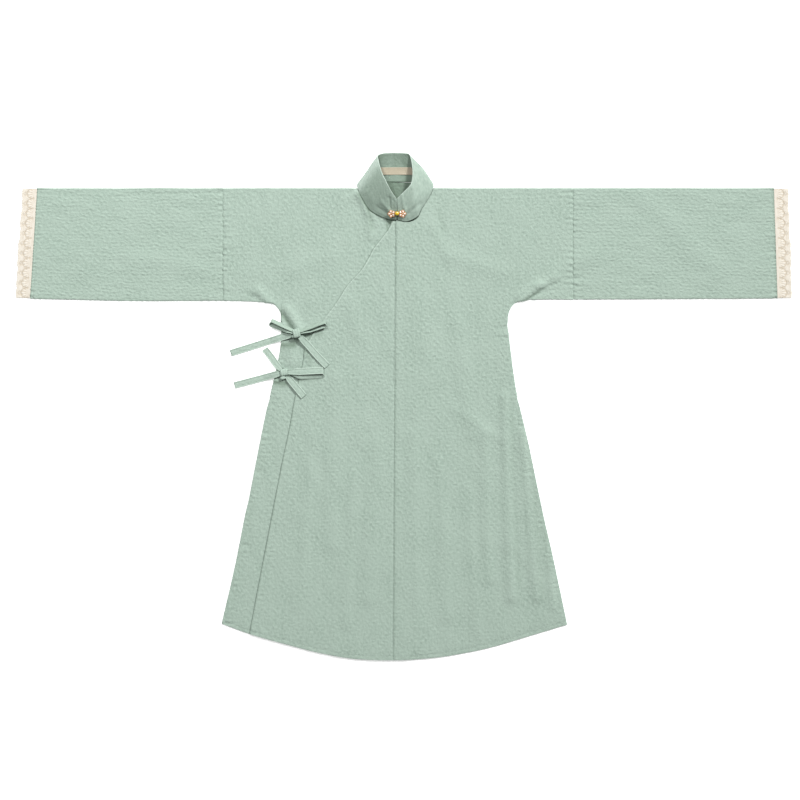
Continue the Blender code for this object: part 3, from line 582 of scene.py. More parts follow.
def cotton_finish(name, waves, rows=0.092, ripple=1.0, across=5.0, along=6.5, bright=1.0, calm_skirt=False):
    """Matt crinkled cotton: rows of bubbles `rows` mm high, ripples of `across` by `along` mm and weave as
    bump, with painted shade in the dips, and faintly cloudy. The point value "inside" mixes in painted
    shade, and a second point value a pale painted highlight."""
    finish, tree, surface = new_finish(name)
    grain = add_node(tree, "ShaderNodeUVMap", uv_map="grain").outputs["UV"]
    bubbles = bubble_rows(tree, grain, waves)
    ripples = stretched_noise(tree, grain, across, along, 1.0, 0.2)
    clouds = stretched_noise(tree, grain, 50.0, 80.0, 2.0)
    tones = (COTTON_DIP_SHADE, COTTON_LIGHT, COTTON_PALE)
    deep, light, pale = (tuple(c * bright for c in tone[:3]) + (1,) for tone in tones)
    height = blend_values(tree, "ADD", blend_values(tree, "MULTIPLY", bubbles, 0.085),
                          blend_values(tree, "MULTIPLY", ripples, 0.9))
    # Painted shade: the dips of the height take the deep tone.
    tone = blend_colours(tree, ramp_between(tree, height, 0.15, 0.75), deep, light)
    colour = blend_colours(tree, ramp_between(tree, clouds, 0.25, 0.95), tone, pale)
    # The point value "inside" mixes in painted shade, and the next one a painted highlight.
    inside = add_node(tree, "ShaderNodeAttribute", attribute_name="inside").outputs["Fac"]
    painted_highlight = add_node(tree, "ShaderNodeAttribute", attribute_name="painted_highlight").outputs["Fac"]
    shaded = blend_colours(tree, inside, colour, COTTON_PAINTED_SHADE)
    tree.links.new(blend_colours(tree, painted_highlight, shaded, COTTON_PAINTED_HIGHLIGHT), surface.inputs["Base Color"])
    warp = add_node(tree, "ShaderNodeTexWave", wave_type="BANDS", bands_direction="X")
    weft = add_node(tree, "ShaderNodeTexWave", wave_type="BANDS", bands_direction="Y")
    for wave in (warp, weft):
        wave.inputs["Scale"].default_value = 600.0
        wave.inputs["Distortion"].default_value = 0.6
        tree.links.new(grain, wave.inputs["Vector"])
    weave = blend_values(tree, "MULTIPLY", warp.outputs["Fac"], weft.outputs["Fac"])
    low = blend_values(tree, "ADD", blend_values(tree, "MULTIPLY", bubbles, rows),
                       blend_values(tree, "MULTIPLY", ripples, ripple))
    if calm_skirt:  # the skirt is pulled smoother than the chest
        split = add_node(tree, "ShaderNodeSeparateXYZ")
        tree.links.new(grain, split.inputs[0])
        share = ramp_between(tree, split.outputs["Y"], -0.40, 0.15)
        calm = blend_values(tree, "ADD", blend_values(tree, "MULTIPLY", share, 0.4), 0.62)
        low = blend_values(tree, "MULTIPLY", low, calm)
    add_bump(tree, surface, blend_values(tree, "ADD", low, blend_values(tree, "MULTIPLY", weave, 0.1)), 1.0, MM)
    surface.inputs["Roughness"].default_value = 0.88
    surface.inputs["Specular IOR Level"].default_value = 0.2
    surface.inputs["Sheen Weight"].default_value = 0.12
    return finish


def mark_points(piece, word, value):
    """Keep a value from 0 to 1 at each point, under a word that a finish reads."""
    layer = piece.data.attributes.new(word, "FLOAT", "POINT")
    layer.data.foreach_set("value", np.asarray(value, np.float32))


cotton = cotton_finish("sage_cotton", BODY_WAVES, rows=0.1, ripple=1.1, calm_skirt=True)
sleeve_cotton = cotton_finish("sage_cotton_on_sleeves", SLEEVE_WAVES)
ribbon_cotton = cotton_finish("sage_cotton_ribbon", SMALL_WAVES, 0.02, 0.5, 4.5, 7.0, 1.08)
collar_cotton = cotton_finish("sage_cotton_collar", BODY_WAVES, 0.03, 0.6)
print("cotton finish:", len(cotton.node_tree.nodes), "nodes")

# %% [markdown]
# ## Spacing the rows
# A grid needs close rows where the cloth turns over an edge or runs into a seam, and wide rows in the
# middle, so that the triangles go where they show. This helper gives such a spacing.

# %% Spacing helper
def spread(length, step, near_start=(), near_end=()):
    """Distances from 0 to `length` about `step` apart, with extra ones at given distances from both ends."""
    first = np.concatenate([[0.0], near_start])
    last = length - np.concatenate([[0.0], near_end])[::-1]
    count = max(2, int(round((last[0] - first[-1]) / step)))
    return np.concatenate([first, np.linspace(first[-1], last[0], count + 1)[1:-1], last])


def with_extra(values, extra, closest=0.9):
    """Sorted values with extra ones put in; an old inner value too close to an extra one is dropped."""
    far = np.abs(values[:, None] - np.asarray(extra)[None]).min(axis=1) > closest
    far[[0, -1]] = True
    return np.sort(np.concatenate([values[far], extra]))


def outward_of(chain, inside_point):
    """Unit normals in the plan along a row of points, pointing away from a point of the cloth."""
    run = np.gradient(chain[:, :2], axis=0)
    normal = np.column_stack([run[:, 1], -run[:, 0]])
    normal /= np.linalg.norm(normal, axis=1)[:, None]
    middle = len(chain) // 2
    return normal * (np.sign(np.dot(normal[middle], chain[middle, :2] - np.asarray(inside_point))) or 1)


# %% [markdown]
# ## The two halves of the body
# A half of the body is one length of cloth that hangs over the shoulder: a front and a back. On the flat
# shirt the front lies over the back, and they join in a soft fold at the shoulder and in a seam at the
# side. Front and back are two grids with the same rows and columns, so the folds between them join point to
# point.

# %% Body grids
def body_columns(cut):
    """Distances of the columns from the inner edge to the side, and from the side to the sleeve seam."""
    sign, start, side_x = cut["sign"], at(cut["inner"], JOIN_Y), at(cut["side"], JOIN_Y)
    width = abs(side_x - start)
    neck_end = cut["neck"][np.argmax(cut["neck"][:, 1]), 0]
    lean = (at(cut["inner"], 410) - start) * sign
    meet = (abs(neck_end - start) - lean) / (1 - lean / width)
    inside = spread(width, 4.5, (0.8, 2.0, 4.0), (0.9, 2.2, 4.2, 7.0, 9.6, 11.4, 14.0))
    inside = with_extra(inside, meet - np.array([0, 1.6, 3.4, 5.6, 8.2, 11.5, 15.0]))
    outside = spread(abs(cut["sleeve_seam"] - side_x), 4.8,
                     (0.5, 1.3, 2.4, 4.0, 6.0, 9.0, 13.0, 18.0), (0.8, 2, 4, 7))
    return start + sign * inside, side_x + sign * outside[1:], neck_end


def body_panel(cut):
    """Front and back of one half as a middle surface: an upper block up to neck and shoulder, and a skirt
    below it."""
    cloth, sign = Middle(), cut["sign"]
    inside, outside, neck_end = body_columns(cut)
    columns = np.concatenate([inside, outside])
    u = np.clip((columns - inside[0]) / (inside[-1] - inside[0]), 0, 1)
    lean = (at(cut["inner"], 410) - inside[0]) * (1 - u)
    top_x = columns + lean
    over_shoulder = (top_x - neck_end) * sign >= -0.01
    foot = np.where(np.arange(len(columns)) < len(inside), JOIN_Y, at(cut["under"], columns))
    v = spread(298, 3.9, (0.9, 2.2, 4.4), (0.9, 2.2, 4.4))[:, None] / 298
    w = spread(690, 4.0, (), (0.8, 2.0, 4.0, 6.2, 7.4, 8.8, 11.0))[1:, None] / 690
    corner_x = cut["side"][np.argmin(cut["side"][:, 0]), 1]

    def block(top_y, start_x, edge, height, way):
        """One layer: upper block and skirt, as point numbers, from its top line and its inner edge."""
        x = start_x + (top_columns - start_x) * v
        y = foot + (top_y - foot) * v
        upper = cloth.add(np.stack([x, y, height(x, y)], -1), way, np.stack([x, y], -1))
        s = u[None, : len(inside)]
        hem_y = at(HEM, edge(-540.0) * (1 - s) + corner_x * s)
        y = JOIN_Y + (hem_y - JOIN_Y) * w
        x = edge(y) * (1 - s) + at(cut["side"], y) * s
        lower = cloth.add(np.stack([x, y, height(x, y)], -1), way, np.stack([x, y], -1))
        skirt = np.vstack([upper[0, : len(inside)], lower])
        cloth.weave(upper)
        cloth.weave(skirt)
        return upper, skirt

    top_columns = top_x
    neck_y = at(cut["neck"], top_x)
    upper, skirt = block(np.where(over_shoulder, SHOULDER_Y, neck_y), columns, lambda y: at(cut["inner"], y),
                         lambda x, y: body_front(cut, x, y), (0, 0, 1))
    seam_x = BACK_SEAM_X + sign * SEAM / 2
    back_start = np.where(np.arange(len(columns)) < len(inside), seam_x + (inside[-1] - seam_x) * u, columns)
    share = (top_x - top_x[0]) / (neck_end - top_x[0])
    top_columns = np.where(over_shoulder, top_x, seam_x + (neck_end - seam_x) * share)
    back_top = np.where(over_shoulder, SHOULDER_Y, at(cut["back_neck"], top_columns))
    back_upper, back_skirt = block(back_top, back_start, lambda y: seam_x + 0 * y, back_sheet, (0, 0, -1))

    points = np.vstack(cloth.points)
    shoulder = np.flatnonzero(over_shoulder)
    cloth.fold(upper[-1, shoulder], back_upper[-1, shoulder], np.tile((0.0, 1.0), (len(shoulder), 1)))
    arm = np.arange(len(inside), len(columns))[::-1]
    front = np.concatenate([upper[0, arm], skirt[:, -1]])
    back = np.concatenate([back_upper[0, arm], back_skirt[:, -1]])
    sewn_up = points[front, 1] >= SLIT_Y
    cloth.fold(front[sewn_up], back[sewn_up], outward_of(points[front[sewn_up]], (inside[0], 100.0)))
    return cloth


# %% Body pieces
for side, cut, flat in (("left", LEFT, (0.41, 2.07)), ("right", RIGHT, (0.40, 2.05))):
    cloth = body_panel(cut)
    points, faces, grain = cloth.solid(WALL)
    piece = make_piece(f"{side}_body_cloth", points, faces, cotton, (f"{side}_body",), grain)
    # Painted shade on the back's cloth seen inside the neck, deepest beside the left wing's edge.
    neck_back = (points[:, 2] < BACK_TOP_Z) & (points[:, 1] > 400) & (np.abs(points[:, 0] - BACK_SEAM_X) < 62)
    wing_edge = -45.1 + 0.402 * (521 - points[:, 1])
    deep = neck_back * (0.90 + 0.10 * np.exp(-(((points[:, 0] - wing_edge - 3) / 9) ** 2)))
    # Painted shade in a thin line at the sleeve seam, and along the lines of deep creases and shadows on the
    # fronts.
    beside_sleeve = np.abs(points[:, 0] - cut["sleeve_seam"]) < 0.7
    shade_on_lines = ridges(PAINTED_SHADE_LINES, points[:, 0], points[:, 1])
    shade = shade_on_lines * (points[:, 2] > BACK_TOP_Z) + 0.10 * beside_sleeve
    mark_points(piece, "inside", np.clip(np.maximum(deep, shade), 0, 1))

# %% [markdown]
# ## The overlap
# The overlap is sewn to the left front at the centre seam and lies over the inner front. Its free edge runs
# down from the neck on a slant, turns at the ties and goes on to the hem. One grid from the free edge to
# the centre seam makes it, since both of those edges can be written as a width for each height.

# %% Overlap piece
def overlap_panel():
    """Grid between the free edge and the centre seam, with the hem as its last row."""
    cloth = Middle()
    u = spread(200, 4.4, (0.8, 2.0, 4.0, 7.0, 9.0, 10.6, 13.0), (0.8, 2.0, 4.0))[None, :] / 200
    slope = spread(SLANT_TOP_Y - TURN_Y, 3.6, (0.8, 2.0))[:, None]
    edge_foot, seam_foot = at(SLANT, -500), at(CENTRE, -560) - SEAM / 2
    hem_y = at(HEM, edge_foot * (1 - u) + seam_foot * u)
    w = spread(640, 3.8, (), (0.8, 2.0, 4.0, 6.2, 7.4, 8.8, 11.0))[1:, None] / 640
    y = np.vstack([SLANT_TOP_Y - slope + 0 * u, TURN_Y + (hem_y - TURN_Y) * w])
    x = at(SLANT, y) * (1 - u) + (at(CENTRE, y) - SEAM / 2) * u
    cloth.weave(cloth.add(np.stack([x, y, overlap_front(x, y)], -1), (0, 0, 1), np.stack([x, y], -1)))
    return cloth


points, faces, grain = overlap_panel().solid(WALL)
overlap_piece = make_piece("front_overlap_cloth", points, faces, cotton, ("front_overlap",), grain)
from_edge = from_slant(points[:, 0], points[:, 1])
from_seam = at(CENTRE, points[:, 1]) - SEAM / 2 - points[:, 0]
high_up = np.clip((points[:, 1] - 200) / 100, 0, 1)
# Painted shade along the free edge, stronger high up, a faint line at the centre seam, and the lines of deep
# creases and shadows.
mark_points(overlap_piece, "inside", np.clip(1.0 - from_edge / 1.4, 0, 0.34 + 0.3 * high_up)
            + np.clip(0.9 - from_seam / 1.0, 0, 0.08) + ridges(PAINTED_SHADE_LINES, points[:, 0], points[:, 1]))
# A painted highlight just inside the free edge, above the turn.
mark_points(overlap_piece, "painted_highlight", 0.42 * np.exp(-(((from_edge - 2.3) / 1.2) ** 2)) * (points[:, 1] > TURN_Y))

# %% [markdown]
# ## The sleeves
# A sleeve is a tube pressed flat: a fold along the top, a seam along the bottom, the armhole seam at one
# end and the cuff at the other. It could be a squashed cylinder, but two grids and two half-round folds
# keep the outline exact.

# %% Sleeve pieces
def sleeve_panel(cut):
    """Upper and lower side between the armhole seam and the cuff, joined by a fold at the top and at the
    bottom."""
    cloth, sign = Middle(), cut["sign"]
    length = abs(cut["cuff"][1] - cut["seam"])
    u = spread(length, 4.6, (0.8, 2.0, 4.0, 7.0), (0.8, 2.0, 3.6, 5.0, 6.4, 9.0, 12.0))[None, :] / length
    v = spread(240, 2.9, (0.9, 2.0), (0.9, 2.0))[:, None] / 240
    cuff = cuff_edge(cut, v)
    x = cut["seam"] + (cuff - cut["seam"]) * u
    y = at(cut["under"], x) + (SHOULDER_Y - at(cut["under"], x)) * v
    grain = np.stack([y, x], -1)
    front = cloth.add(np.stack([x, y, sleeve_front(cut, x, y)], -1), (0, 0, 1), grain)
    back = cloth.add(np.stack([x, y, np.full(x.shape, BACK_Z)], -1), (0, 0, -1), grain)
    for grid in (front, back):
        cloth.weave(grid)
    for row, way in ((-1, 1.0), (0, -1.0)):
        cloth.fold(front[row], back[row], np.tile((0.0, way), (front.shape[1], 1)))
    return cloth


for side, cut in SLEEVES.items():
    points, faces, grain = sleeve_panel(cut).solid(WALL)
    piece = make_piece(f"{side}_sleeve_cloth", points, faces, sleeve_cotton, (f"{side}_sleeve",), grain)
    share = (points[:, 1] - CUFF_FOOT_Y) / (SHOULDER_Y - CUFF_FOOT_Y)
    from_cuff = cut["sign"] * (cuff_edge(cut, share) - points[:, 0])
    # Painted shade: a row of dark dots along the cuff where the lace joins, and a thin line at the armhole seam.
    cuff_shade_dots = (0.55 + 0.45 * np.sin(2 * math.pi * points[:, 1] / 5.6)) * np.exp(-((from_cuff / 1.8) ** 2))
    mark_points(piece, "inside", np.clip(1.0 * cuff_shade_dots + 0.10 * (np.abs(points[:, 0] - cut["seam"]) < 0.7), 0, 1))

# %% [markdown]
# ## The stand collar
# The collar is a stiffened band that stands round the neck and leans inwards. Its sewn edge and its top
# edge come from one table of sections, end to end round the neck, and between the two edges the band swells
# out a little. A loft between two curves would do for a flat band; the added swell gives the padded look of
# the real one.

# %% Collar surface
COLLAR = np.array([
    (-15.8, 410.6, 6.8, -15.0, 454.3, 22.0, 2.0, 0.0), (-37.6, 413.2, 5.6, -26.4, 469.7, 26.8, 1.6, 0.0),
    (-70.9, 429.5, 4.3, -37.4, 490.6, 28.4, 1.4, 0.0), (-89.9, 456.3, 3.7, -47.3, 511.5, 25.6, 1.4, 0.2),
    (-98.6, 475.0, 3.9, -53.9, 534.6, 20.5, 1.2, 0.6), (-101.6, 485.6, 2.9, -55.7, 549.5, 15.0, 0.6, 0.8),
    (-96.5, 490.2, 1.9, -46.0, 555.0, 12.2, -1.0, 0.6), (-64.0, 493.2, 1.9, -34.0, 556.3, 11.8, -2.0, 0.0),
    (-20.0, 493.8, 1.9, -20.9, 556.6, 11.6, -2.2, 0.0), (26.0, 493.2, 1.9, -7.7, 556.3, 11.8, -2.0, 0.5),
    (60.5, 490.2, 1.9, 4.0, 555.6, 12.2, -1.0, 3.0), (65.8, 485.6, 2.9, 12.5, 553.0, 13.8, 1.0, 3.8),
    (62.8, 475.0, 3.9, 17.5, 536.0, 17.0, 3.0, 3.6), (54.0, 457.0, 4.6, 20.0, 512.6, 21.0, 4.0, 1.5),
    (39.0, 434.5, 5.6, 17.6, 490.5, 25.0, 4.0, 0.0), (30.6, 418.0, 6.2, 11.5, 480.0, 26.0, 3.5, 0.0),
    (7.6, 406.8, 6.7, 1.1, 469.7, 25.0, 3.0, 0.0), (-12.4, 410.6, 6.8, -13.9, 455.0, 22.0, 2.5, 0.0),
])
GATHERS = (
    (-31, 457, -29, 433, 3.2, -2.2), (-49, 450, -31, 430, 3.2, 1.5), (-58, 438, -36, 424, 3.0, -1.4),
    (7, 437, 18, 472, 3.4, -2.2), (1, 434, -4, 462, 3.2, 1.5), (10, 424, 38, 446, 3.6, -1.4),
    (14, 430, 31, 464, 3.2, 1.3),
    (-22, 432, -22, 452, 3.0, -1.2), (-78, 470, -66, 452, 6.0, 0.8), (44, 470, 40, 446, 6.0, 0.8),
)
NECK_CENTRE, COLLAR_WALL, BAND = (-18.0, 490.0), 1.5, 60.0  # BAND is the band's height on its grain


def collar_at(t, v):
    """The band at section t and at v from its sewn edge (0) to its top edge (1), and its unit normal to the
    inside."""
    run = curve_at(COLLAR, t)[:, None]
    v = np.asarray(v, float)[None, :, None]
    surface = run[..., 0:3] * (1 - v) + run[..., 3:6] * v
    arch = (4 * v * (1 - v))[..., 0]
    surface[..., 2] += run[..., 6] * arch
    away = surface[..., :2] - NECK_CENTRE
    away /= np.linalg.norm(away, axis=-1)[..., None]
    surface[..., :2] += away * (run[..., 7] * arch)[..., None]
    normal = np.cross(np.gradient(surface, axis=0), np.gradient(surface, axis=1))
    return surface, normal / np.linalg.norm(normal, axis=-1)[..., None]


def along_rows(surface):
    """Distance walked along the first axis of a grid of points, averaged over the second, from 0."""
    steps = np.linalg.norm(np.diff(surface, axis=0), axis=-1).mean(axis=1)
    return np.concatenate([[0.0], np.cumsum(steps)])


# %% Collar piece
collar_t = np.linspace(0, 17, 17 * 12 + 1)
collar_v = spread(BAND, 2.6, (0.6, 1.4, 2.4, 3.6), (0.6, 1.4, 2.4, 3.6, 5.0)) / BAND
surface, inwards = collar_at(collar_t, collar_v)
walked = along_rows(surface)
height = collar_v * BAND
dent = (0.30 * np.exp(-(((height - 57.2) / 0.9) ** 2)) + 0.25 * np.exp(-(((height - 2.4) / 0.9) ** 2)))[None, :]
wave = puckers(height[None, :] + 0 * walked[:, None], walked[:, None] + 0 * height[None, :], 9.0, 9.0, 0.28, 130)
back_of_neck = np.clip((collar_t - 2.5) / 2, 0, 1) * np.clip((14.5 - collar_t) / 2, 0, 1)
rough = (0.22 + 0.7 * back_of_neck[:, None]) * hills(walked[:, None], height[None, :], 15, 26, 134)
gathers = ridges(GATHERS, surface[..., 0], surface[..., 1]) * (surface[..., 1] < 480)
surface = surface + inwards * (dent - wave - rough - gathers)[..., None]
collar_cloth = Middle()
band_grain = np.stack(np.broadcast_arrays(height[None, :], walked[:, None]), -1)
collar_cloth.weave(collar_cloth.add(surface, inwards, band_grain))
points, faces, grain = collar_cloth.solid(COLLAR_WALL)
collar_piece = make_piece("collar_cloth", points, faces, collar_cotton, ("collar",), grain)
inner_side, rows_up = surface[..., 0].size, np.broadcast_to(height[None, :], surface.shape[:2]).ravel()
# Painted shade on the band's inner side: deep at the back of the neck, deeper at the two corners of the back,
# uneven, and deepest at the foot.
corners = np.exp(-(((collar_t - 5.2) / 1.0) ** 2)) + np.exp(-(((collar_t - 10.8) / 1.0) ** 2))
inside = np.zeros(len(points))
inside[:inner_side] = (np.clip(0.66 * back_of_neck + 0.3 * corners, 0, 1)[:, None]
                       + 0.16 * back_of_neck[:, None] * hills(walked[:, None], height[None, :], 12, 40, 136)
                       + 0.5 * np.exp(-((height[None, :] / 2.2) ** 2)) * back_of_neck[:, None]).clip(0, 1).ravel()
# Painted shade on the outer side: low on both ends of the band, and in a line along the sewn edge, stronger on the
# left.
shaded_low_left, shaded_low_right = np.clip((4.2 - collar_t) / 1.2, 0, 1), np.clip((collar_t - 14.2) / 1.0, 0, 1)
on_left = collar_t < 8
sewn_edge_shade = np.repeat(0.15 + 0.45 * on_left, len(collar_v)) * np.exp(-((rows_up / 1.0) ** 2))
inside[inner_side: 2 * inner_side] = np.repeat(0.40 * shaded_low_left + 0.20 * shaded_low_right, len(collar_v)) + sewn_edge_shade
mark_points(collar_piece, "inside", inside)
# Painted highlight: along the top edge on both sides, over the upper part of the left wing's outer side, and on the
# rim where it stands high.
painted_highlight = np.zeros(len(points))
painted_highlight[:inner_side] = painted_highlight[inner_side: 2 * inner_side] = 0.75 * np.exp(-(((BAND - rows_up) / 1.5) ** 2))
lit_upper_left = np.clip((collar_t - 3.4) / 1.0, 0, 1) * np.clip((7.0 - collar_t) / 1.0, 0, 1)
painted_highlight[inner_side: 2 * inner_side] += np.repeat(0.62 * lit_upper_left, len(collar_v))
painted_highlight[2 * inner_side:] = 0.6 * (points[2 * inner_side:, 2] > 9)
mark_points(collar_piece, "painted_highlight", painted_highlight)

# %% [markdown]
# ## The bare label
# A small woven strip is sewn to the inside of the collar at the back. It is left bare. It is made from the
# collar's own surface moved out by the wall, so it follows the band wherever that bends.

# %% Label finish and piece
def woven_tape(name, colour, deep, pitch=0.7):
    """Satin tape: fine bands across the strip in two tones, as bump and as colour."""
    finish, tree, surface = new_finish(name)
    grain = add_node(tree, "ShaderNodeUVMap", uv_map="grain").outputs["UV"]
    bands = add_node(tree, "ShaderNodeTexWave", wave_type="BANDS", bands_direction="Y")
    bands.inputs["Scale"].default_value = 314.0 / pitch
    bands.inputs["Distortion"].default_value = 1.0
    tree.links.new(grain, bands.inputs["Vector"])
    patches = stretched_noise(tree, grain, 5.0, 9.0, 2.0)
    mixed = blend_values(tree, "ADD", blend_values(tree, "MULTIPLY", bands.outputs["Fac"], 0.5),
                         blend_values(tree, "MULTIPLY", patches, 0.5))
    tree.links.new(blend_colours(tree, mixed, deep, colour), surface.inputs["Base Color"])
    add_bump(tree, surface, mixed, 0.5, 0.4 * MM)
    surface.inputs["Roughness"].default_value = 0.6
    surface.inputs["Sheen Weight"].default_value = 0.2
    return finish


# Both tones are darkened by about a quarter: painted shade for the shade the tape lies in inside the collar.
tape = woven_tape("label_tape", (0.50, 0.445, 0.335, 1), (0.38, 0.33, 0.235, 1))
label_t, label_v = np.linspace(6.9, 9.28, 61), np.linspace(0.25, 0.5, 15)
surface, inwards = collar_at(label_t, label_v)
across = (label_v - 0.25) / 0.25
walked = along_rows(surface)
edge = np.minimum(across, 1 - across)[None, :]
lift = (COLLAR_WALL / 2 + 0.75 + 0.25 * np.exp(-((edge / 0.07) ** 2))
        + 0.12 * hills(walked[:, None], 15 * across[None, :], 9, 9, 140))
label_cloth = Middle()
label_cloth.weave(label_cloth.add(surface + inwards * lift[..., None], inwards,
                                  np.stack(np.broadcast_arrays(15 * across[None, :], walked[:, None]), -1)))
points, faces, grain = label_cloth.solid(0.7)
label_piece = make_piece("neck_label_tape", points, faces, tape, ("neck_label",), grain)

# %% [markdown]
# ## The ties
# Two pairs of narrow ties hold the overlap at the side. Each is a flat tube of the same cotton with a
# stitched edge. The upper pair is tied in a bow whose loops stand a little open. The lower pair is tied in
# half a bow, and its one loop turns over and comes back above itself. A tail follows a path on the cloth.
# Each ribbon is one strip carried along its path.

# %% Tie paths
UPPER_KNOT, LOWER_KNOT = (-234.3, 160.6), (-261.8, 74.8)
TAILS = {
    # name                 knot        through (x, y)                                   up  start lift
    "upper_tie_left_tail": (UPPER_KNOT, ((-275, 150), (-330, 133), (-379.5, 117.5)), 0.7, 9.0, 4.0),
    "upper_tie_right_tail": (UPPER_KNOT, ((-212, 137), (-190, 112), (-167.5, 88.5)), 1.6, 9.0, 2.6),
    "lower_tie_left_tail": (LOWER_KNOT, ((-290, 68), (-330, 57.5), (-371.4, 46.6)), 0.7, 8.8, 3.2),
    "lower_tie_up_tail": (LOWER_KNOT, ((-277, 90), (-291, 109), (-305, 126.5)), 0.3, 9.2, 4.4),
    "lower_tie_down_tail": (LOWER_KNOT, ((-248, 57), (-233, 39), (-218.9, 22)), 1.0, 8.8, 1.8),
}
LOOPS = {
    # name                  knot        far end (x, y)   open  lean low, high  stray side
    "lower_tie_right_loop": (LOWER_KNOT, (-176.0, 79.0), 5.0, (-8, 4), 10.0, -1),
}
OPEN_LOOPS = {
    # name                 knot        far end (x, y)    half opening  lean near, far  side
    "upper_tie_left_loop": (UPPER_KNOT, (-291.5, 185.5), 3.6, (-13, -50), -1),
    "upper_tie_right_loop": (UPPER_KNOT, (-170.5, 183.0), 3.2, (-16, -52), 1),
}


def cover(x, y):
    """Top of the plain cloth at a place: the overlap, else the inner front, else the floor."""
    inner = (x > at(RIGHT["side"], y) - 4) & (y > -480) & (y < 300)
    over = (x > at(SLANT, y)) & (y < 407)
    height = np.where(inner, plain_front(x, y) - 0.1, -0.6)
    return np.where(over, FRONT_Z + OVER - 0.1 + ridges(FOLDS, x, y), height) + 0.6


def walk(plan):
    """Distance walked along a row of plan points, from 0."""
    return np.concatenate([[0], np.cumsum(np.hypot(*np.diff(plan, axis=0).T))])


def lie_on(plan, half, reach=12.0):
    """Heights along a path that clear what lies under its whole width: the highest need near by, then
    averaged."""
    run = np.gradient(plan, axis=0)
    across = np.column_stack([-run[:, 1], run[:, 0]])
    across /= np.linalg.norm(across, axis=1)[:, None] + 1e-12
    spots = plan[None] + across[None] * np.linspace(-half, half, 5)[:, None, None]
    need = cover(spots[..., 0], spots[..., 1]).max(axis=0)
    walked = walk(plan)
    near = np.abs(walked[:, None] - walked[None, :])
    high = np.where(near <= reach, need[None, :], -1).max(axis=1)
    weight = (near <= reach * 0.8).astype(float)
    return (weight @ high) / weight.sum(axis=1), across


def tail_path(knot, through, up, start, lift):
    """Middle line and sideways direction of a tail: a smooth plan curve at the height of what it lies on."""
    path = smooth(np.vstack([knot, through]), 12)
    walked = walk(path)
    steps = np.linspace(start, walked[-1], int(walked[-1] / 2.0))
    plan = np.column_stack([np.interp(steps, walked, path[:, 0]), np.interp(steps, walked, path[:, 1])])
    height, across = lie_on(plan, RIBBON_WIDTH / 2)
    rise = lift * np.exp(-(((steps - start) / 17.0) ** 2))
    pinch = 1 - 0.22 * np.exp(-(((steps - start) / 9.0) ** 2))
    middle = np.column_stack([plan, height + up + rise + 0.6])
    return middle, np.column_stack([across, np.zeros(len(across))]), pinch


LOOP_START = 8.0  # from the middle of the knot


def loop_axes(knot, end, side):
    """The knot, and the length, the direction and the direction to one side of a loop that runs to its far
    end."""
    knot, end = np.array(knot), np.array(end)
    length = np.linalg.norm(end - knot)
    way = (end - knot) / length
    return knot, length, way, side * np.array((-way[1], way[0]))


def loop_path(knot, end, opening, leans, stray, side):
    """Middle line and width direction of a loop. It runs out low, round half a circle and back high, and
    its width leans up to one side by the first of `leans` on the low strand and by the second on the high
    one. The low strand strays."""
    knot, length, way, aside = loop_axes(knot, end, side)
    radius, start = opening / 2, LOOP_START
    low = np.linspace(start, length - radius, 34)
    turn = np.linspace(-math.pi / 2, math.pi / 2, 17)[1:-1]
    half = 0.8 + (radius - 0.8) * np.sin(math.pi / 2 * (low - start) / (low[-1] - start))
    along = np.concatenate([low, low[-1] + radius * np.cos(turn), low[::-1]])
    off = np.concatenate([-half, radius * np.sin(turn), half[::-1]])
    back = np.concatenate([np.zeros(len(low)), (1 + np.sin(turn)) / 2, np.ones(len(low))])
    share = np.clip((along - start) / (low[-1] - start), 0, 1)
    rise = ease(np.clip(share * 2.5, 0, 1))
    lean = np.radians(leans[0] * (1 - back) + leans[1] * back) * rise
    pinch = 0.66 + 0.34 * np.clip(share * 3.0, 0, 1) ** 0.7
    height, _ = lie_on(knot + way * along[:, None], RIBBON_WIDTH / 2)
    foot = 0.9 + pinch * RIBBON_WIDTH / 2 * math.sin(math.radians(max(np.abs(leans))))
    centre = 5.1 * (1 - rise) + (foot + radius) * rise
    plan = knot + way * along[:, None] + aside * (stray * rise * (1 - back))[:, None]
    middle = np.column_stack([plan, height.max() + centre + off])
    return middle, np.column_stack([aside * np.cos(lean)[:, None], np.sin(lean)]), pinch


def open_loop_path(knot, end, opening, leans, side):
    """Middle line and width direction of a loop that stands open: out along one side and back along the
    other, round half a circle at its far end. The near strand leans low by the first of `leans` degrees,
    the far one stands by the second."""
    knot, length, way, aside = loop_axes(knot, end, side)
    start = LOOP_START
    out = np.linspace(start, length - opening, 34)
    turn = np.linspace(-math.pi / 2, math.pi / 2, 19)[1:-1]
    half = 1.5 + (opening - 1.5) * ((out - start) / (out[-1] - start)) ** 0.7
    along = np.concatenate([out, out[-1] + opening * np.cos(turn), out[::-1]])
    off = np.concatenate([-half, opening * np.sin(turn), half[::-1]])
    back = np.concatenate([np.zeros(len(out)), (1 + np.sin(turn)) / 2, np.ones(len(out))])
    share = np.clip((along - start) / (out[-1] - start), 0, 1)
    rise = ease(np.clip(share * 2.2, 0, 1))
    lean = np.radians(leans[1] + (leans[0] * (1 - back) + leans[1] * back - leans[1]) * rise)
    pinch = 0.62 + 0.24 * np.clip(share * 2.6, 0, 1) ** 0.7
    height, _ = lie_on(knot + way * along[:, None], RIBBON_WIDTH / 2)
    centre = 5.4 * (1 - rise) + (1.2 + pinch * RIBBON_WIDTH / 2 * np.abs(np.sin(lean))) * rise
    middle = np.column_stack([knot + way * along[:, None] + aside * off[:, None], height.max() + centre])
    return middle, np.column_stack([aside * np.cos(lean)[:, None], np.sin(lean)]), pinch


